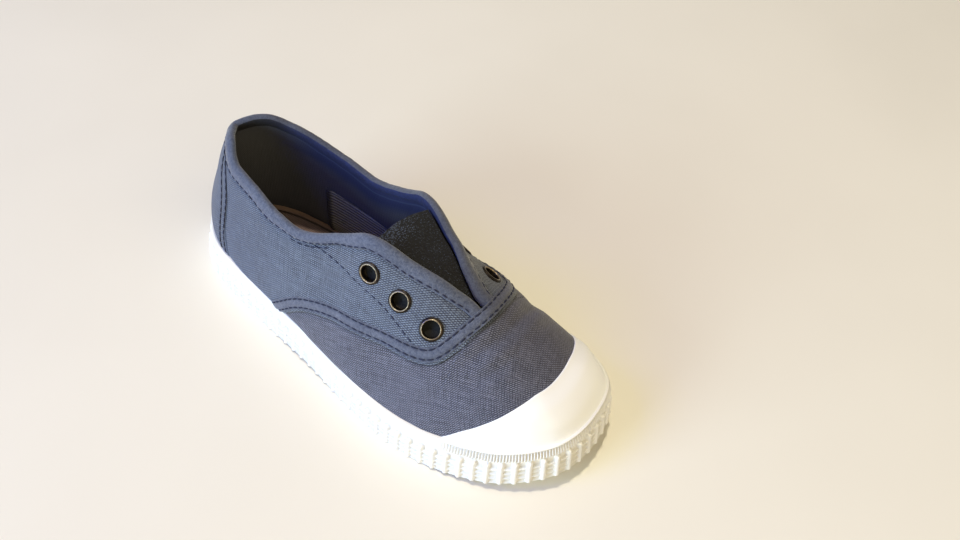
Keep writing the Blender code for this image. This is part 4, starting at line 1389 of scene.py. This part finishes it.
def make_cap():
    """The moulded cap: thin at its rear edge, flowing down to the foxing's bead."""
    columns, rows = CAP_GRID
    turns = np.linspace(turn_at(CAP_EDGE[0][0], LATERAL), turn_at(CAP_EDGE[0][0], MEDIAL), columns)
    high = smooth_rows(along_of(turns), CAP_EDGE)
    shares = np.linspace(0.0, 0.6, 200)
    heights = last_point(turns[:, None], shares)[..., 2] - toe_rise(along_of(turns))[:, None]
    low = np.array([np.interp(LIP_HEIGHT - CAP_BELOW, row, shares) for row in heights])
    keep = high > low + CAP_LEAST_SPAN
    turns, high, low = turns[keep], high[keep, None], low[keep, None]
    share = low + (high - low) * (1.0 - np.linspace(1.0, 0.0, rows) ** CAP_CROWD)
    turn, points = spread(turns, share)
    to_edge, to_foot = (high - share) * SHARE_LENGTH, (share - low) * SHARE_LENGTH
    thick = CAP_EDGE_WALL + (CAP_WALL - CAP_EDGE_WALL) * ease(to_edge / CAP_THICKEN)
    thick *= 0.35 + 0.65 * ease(to_edge / CAP_ROUND)
    top = points + last_normal(turn, share) * (thick + 0.08 * wander(points, 16.0, 31))[..., None]
    along, across = np.moveaxis(ring(turn, LIP_INSET), -1, 0)
    foot = to_world(along, across, LIP_HEIGHT + toe_rise(along))
    near_end = ease((high - low) * SHARE_LENGTH / CAP_END)
    pull = (np.exp(-((to_foot / CAP_FLOW) ** CAP_FLOW_POWER)) * near_end)[..., None]
    top = top * (1.0 - pull) + foot * pull
    bottom = offset_point(turn, share, np.full(share.shape, -0.3))
    uv = top[..., :2]
    closed_sheet("rubber_cap", cap_rubber, top, bottom, uv, replaces=["toe_cap"])


# ---- sole ----

RIB_COUNT, RIB_COLUMNS, TRIM_COLUMNS = 89, 16, 27
RIB_PROUD, RIB_HALF = 1.5, 1.1
# The ribs' height: (along, height).
RIB_TOPS = ((0.0, 8.4), (120.0, 8.6), (150.0, 9.6), (172.0, 10.3), (184.0, 10.4))
# The heights of the wall's rows.
RIB_ROWS = np.concatenate([[0.0, 0.12], np.linspace(0.3, 10.7, 50)])
# The middles of the bars between the ribs, as shares of the ribs' height.
BARS, BAR_HALF, BAR_PROUD = (0.262, 0.48, 0.698), 0.52, 1.05
# The flange at the ground: its flat edge, its top, how proud it is, and its chamfer's height and depth.
FLANGE_FLAT, FLANGE_TOP, FLANGE_PROUD, CHAMFER, CHAMFER_DEPTH = 0.25, 0.6, 0.95, 0.3, 0.3
# The foxing's wall stands this far inside the outline at the ground, and leans in by LEAN at LEAN_AT.
WALL_INSET, LEAN, LEAN_AT = 1.45, 1.0, 10.4
# The foxing's top in section, (inset, height), from its smooth band over the bead and lip to behind the
# canvas.
TRIM_SECTION = (
    (2.6, 10.65), (2.1, 10.55), (1.9, 10.7), (1.9, 11.0), (1.98, 11.4), (2.12, 11.9), (2.32, 12.5),
    (2.52, 13.0), (2.74, 13.5), (2.86, 13.8), (2.94, 13.95), (2.74, 14.1), (2.56, 14.3), (2.52, 14.5),
    (2.62, 14.72), (2.85, 14.82), (3.25, 14.85), (3.7, 14.85), (4.2, 14.8), (4.7, 14.7), (5.1, 14.4),
    (5.4, 13.6), (5.6, 12.0), (5.6, 8.6),
)
# The rows of that section that the teeth are on, the height where they start, and how soon they are full.
TOOTH_FIRST, TOOTH_LAST, TOOTH_LOW, TOOTH_RISE = 3, 11, 10.9, 0.5
# How deep the teeth are cut, how much of that lies below the wall, and how many there would be all round.
TOOTH_DEPTH, TOOTH_BELOW, TEETH = 0.85, 0.35, 408
# Where along the shoe the teeth begin, and over what length they grow.
TEETH_FROM, TEETH_FADE = 140.0, 14.0
# How much lower the foxing's top lies along the waist, (along, millimetres), and the height that stays put.
LIP_DROP = ((50.0, 0.0), (78.0, 0.9), (105.0, 1.0), (125.0, 0.6), (142.0, 0.0))
TRIM_FOOT = 10.6
# The moulding's slow unevenness: how deep, how many waves round the sole, and where they start; and the
# height from which the ribs have it.
RIB_UNEVEN, TRIM_UNEVEN, UNEVEN_FROM = (0.05, 9, 0.0), (0.06, 7, 1.0), 0.5
# The tread's waved zones, (from, to) along, how soon they fade, the grooves' pitch and depth, and the smooth
# rim.
TREADS, TREAD_FADE, TREAD_PITCH, TREAD_DEPTH, TREAD_RIM = ((12.0, 48.0), (108.0, 168.0)), 2.5, 4.4, 0.9, 8.0
# How far a groove waves to and fro, and over what width across the shoe.
TREAD_WAVE, TREAD_ACROSS = 0.9, 1.9


def sole_sheet(name, turns, inset, height):
    """A sheet of the sole's wall, with the ground line following the toe's rise and the arch."""
    along, across = np.moveaxis(ring(turns, inset), -1, 0)
    ground = arch(along) * np.clip(1.0 - height / 3.0, 0.0, 1.0)
    points = flat_grid(to_world(along, across, height + toe_rise(along) + ground))
    new_piece(name, points, grid_faces(*inset.shape, closed=True), [white_rubber])


def half_round(distance, half):
    return np.sqrt(np.clip(1.0 - (distance / half) ** 2, 0.0, 1.0))


def uneven(turn, depth, waves, start):
    return depth * np.sin(2 * math.pi * waves * turn + start)


def make_ribs():
    """The foxing's lower wall: upright ribs with three bars between them, on a flange."""
    turns = np.arange(RIB_COUNT * RIB_COLUMNS) / (RIB_COUNT * RIB_COLUMNS)
    turn, z = np.meshgrid(turns, RIB_ROWS, indexing="ij")
    beside = (np.mod(turn * RIB_COUNT + 0.5, 1.0) - 0.5) * (OUTLINE_LENGTH / RIB_COUNT)
    rib_top = smooth_rows(along_of(turn), RIB_TOPS)
    above = np.clip(z - (rib_top - RIB_HALF), 0.0, None)
    proud = RIB_PROUD * half_round(np.hypot(beside, above), RIB_HALF)
    for middle in BARS:
        proud = np.maximum(proud, BAR_PROUD * half_round(z - middle * rib_top, BAR_HALF))
    over_flat = np.clip(z - FLANGE_FLAT, 0.0, None)
    proud = np.maximum(proud, FLANGE_PROUD * half_round(over_flat, FLANGE_TOP - FLANGE_FLAT))
    proud -= CHAMFER_DEPTH * np.clip(1.0 - z / CHAMFER, 0.0, 1.0)
    proud += uneven(turn, *RIB_UNEVEN) * (z > UNEVEN_FROM)
    sole_sheet("foxing_ribs", turn, WALL_INSET + LEAN * z / LEAN_AT - proud, z)


def make_trim():
    """The foxing's upper wall: a smooth band, fine upright teeth, a bead and a lip."""
    turns = np.arange(RIB_COUNT * TRIM_COLUMNS) / (RIB_COUNT * TRIM_COLUMNS)
    insets, heights = np.array(TRIM_SECTION).T
    turn, inset = np.meshgrid(turns, insets, indexing="ij")
    z = np.broadcast_to(heights, inset.shape).copy()
    row = np.arange(z.shape[1])
    on_wall = (row >= TOOTH_FIRST) & (row <= TOOTH_LAST)
    tooth = np.clip(0.5 + 0.75 * np.cos(2 * math.pi * turn * TEETH), 0.0, 1.0)
    strength = ease((z - TOOTH_LOW) / TOOTH_RISE) * ease((along_of(turn) - TEETH_FROM) / TEETH_FADE)
    inset = inset + TOOTH_DEPTH * (TOOTH_BELOW - tooth) * strength * on_wall
    inset = inset - uneven(turn, *TRIM_UNEVEN)
    along, across = np.moveaxis(foot_at(turn), -1, 0)
    drop = smooth_rows(along, LIP_DROP) * (1.0 - medial_waist(along, across))
    z -= drop * np.clip((z - TRIM_FOOT) / (LIP_HEIGHT - TRIM_FOOT), 0.0, 1.0)
    sole_sheet("foxing_trim", turn, inset, z)


def make_tread():
    """The underside: waved grooves across the heel and forefoot, and a smooth waist and rim."""
    place = chord_grid(WALL_INSET, 420, 90)
    along, across = place[..., 0], place[..., 1]
    inner = 1.0 - ease((edge_nearness(place, WALL_INSET, TREAD_RIM) - 0.3) / 0.3)
    wave = np.sin(2 * math.pi * (along + TREAD_WAVE * np.sin(across / TREAD_ACROSS)) / TREAD_PITCH)
    zone = sum(ease((along - start) / TREAD_FADE) * ease((end - along) / TREAD_FADE) for start, end in TREADS)
    depth = TREAD_DEPTH * ease((wave - 0.15) / 0.5) * inner * zone
    points = flat_grid(to_world(along, across, toe_rise(along) + arch(along) + depth))
    faces = grid_faces(*along.shape)[:, ::-1]
    new_piece("tread", points, faces, [white_rubber], replaces=["outsole"])


make_gusset()
for side, word in SIDES:
    make_patch(side, word)
make_insole()
for name, turn, share in eyelet_places():
    make_eyelet(name, turn, share)
make_cap()
make_ribs()
make_trim()
make_tread()

# ---- floor, light and camera ----

FLOOR_HALF = 2.0
# Each light: name, azimuth, elevation, distance in metres, size, power in watts, colour. Azimuth 0 stands
# before the toe and 90 on the medial side.
LIGHTS = (
    ("overhead", 146.0, 86.0, 1.3, 0.06, 8.3, (1.0, 0.9, 0.655)),
    ("window", -108.0, 15.0, 1.6, 0.9, 25.4, (0.71, 0.89, 1.0)),
    ("sky", -124.0, 46.0, 1.3, 0.5, 4.6, (0.06, 0.12, 1.0)),
    ("room", -15.0, 35.0, 1.6, 1.4, 10.0, (1.0, 0.81, 0.4)),
)
WORLD_COLOUR = (0.202, 0.191, 0.18)
VIEW_AZIMUTH, VIEW_ELEVATION, VIEW_ROLL = -54.6, 46.65, 3.8
VIEW_DISTANCE, VIEW_TARGET = 353.8, (32.4, -18.48, 20.0)
LENS, SENSOR, NEAREST = 35.84, 36.0, 0.01


def way_from(azimuth, elevation):
    """The direction from the shoe towards a light or the camera."""
    around, up = math.radians(azimuth), math.radians(elevation)
    return Vector((math.sin(around) * math.cos(up), -math.cos(around) * math.cos(up), math.sin(up)))


def make_floor():
    mesh = bpy.data.meshes.new("floor")
    corners = [(x * FLOOR_HALF, y * FLOOR_HALF, 0) for x, y in ((-1, -1), (1, -1), (1, 1), (-1, 1))]
    mesh.from_pydata(corners, [], [(0, 1, 2, 3)])
    mesh.materials.append(floor_material())
    floor = add_object("floor", mesh)


def make_light(name, azimuth, elevation, distance, size, power, colour):
    """A square light looking at the shoe."""
    way = way_from(azimuth, elevation)
    data = bpy.data.lights.new(name, "AREA")
    data.size = size
    data.energy = power
    data.color = colour
    light = add_object(name, data)
    light.location = way * distance
    light.rotation_euler = way.to_track_quat("Z", "Y").to_euler()


def make_world():
    world = bpy.data.worlds.new("studio")
    world.use_nodes = True
    background = world.node_tree.nodes["Background"].inputs
    background["Color"].default_value = (*WORLD_COLOUR, 1.0)
    background["Strength"].default_value = 1.0
    bpy.context.scene.world = world


def make_camera():
    back, roll = way_from(VIEW_AZIMUTH, VIEW_ELEVATION), math.radians(VIEW_ROLL)
    right = (-back).cross(Vector((0.0, 0.0, 1.0))).normalized()
    above = right.cross(-back)
    rolled = right * math.cos(roll) + above * math.sin(roll), above * math.cos(roll) - right * math.sin(roll)
    data = bpy.data.cameras.new("camera")
    data.lens = LENS
    data.sensor_width = SENSOR
    data.clip_start = NEAREST
    camera = add_object("camera", data)
    turned = Matrix((*rolled, back)).transposed().to_4x4()
    camera.matrix_world = Matrix.Translation((Vector(VIEW_TARGET) + back * VIEW_DISTANCE) * MM) @ turned
    bpy.context.scene.camera = camera


make_floor()
make_world()
for light in LIGHTS:
    make_light(*light)
make_camera()
bpy.context.scene.view_settings.view_transform = "Standard"
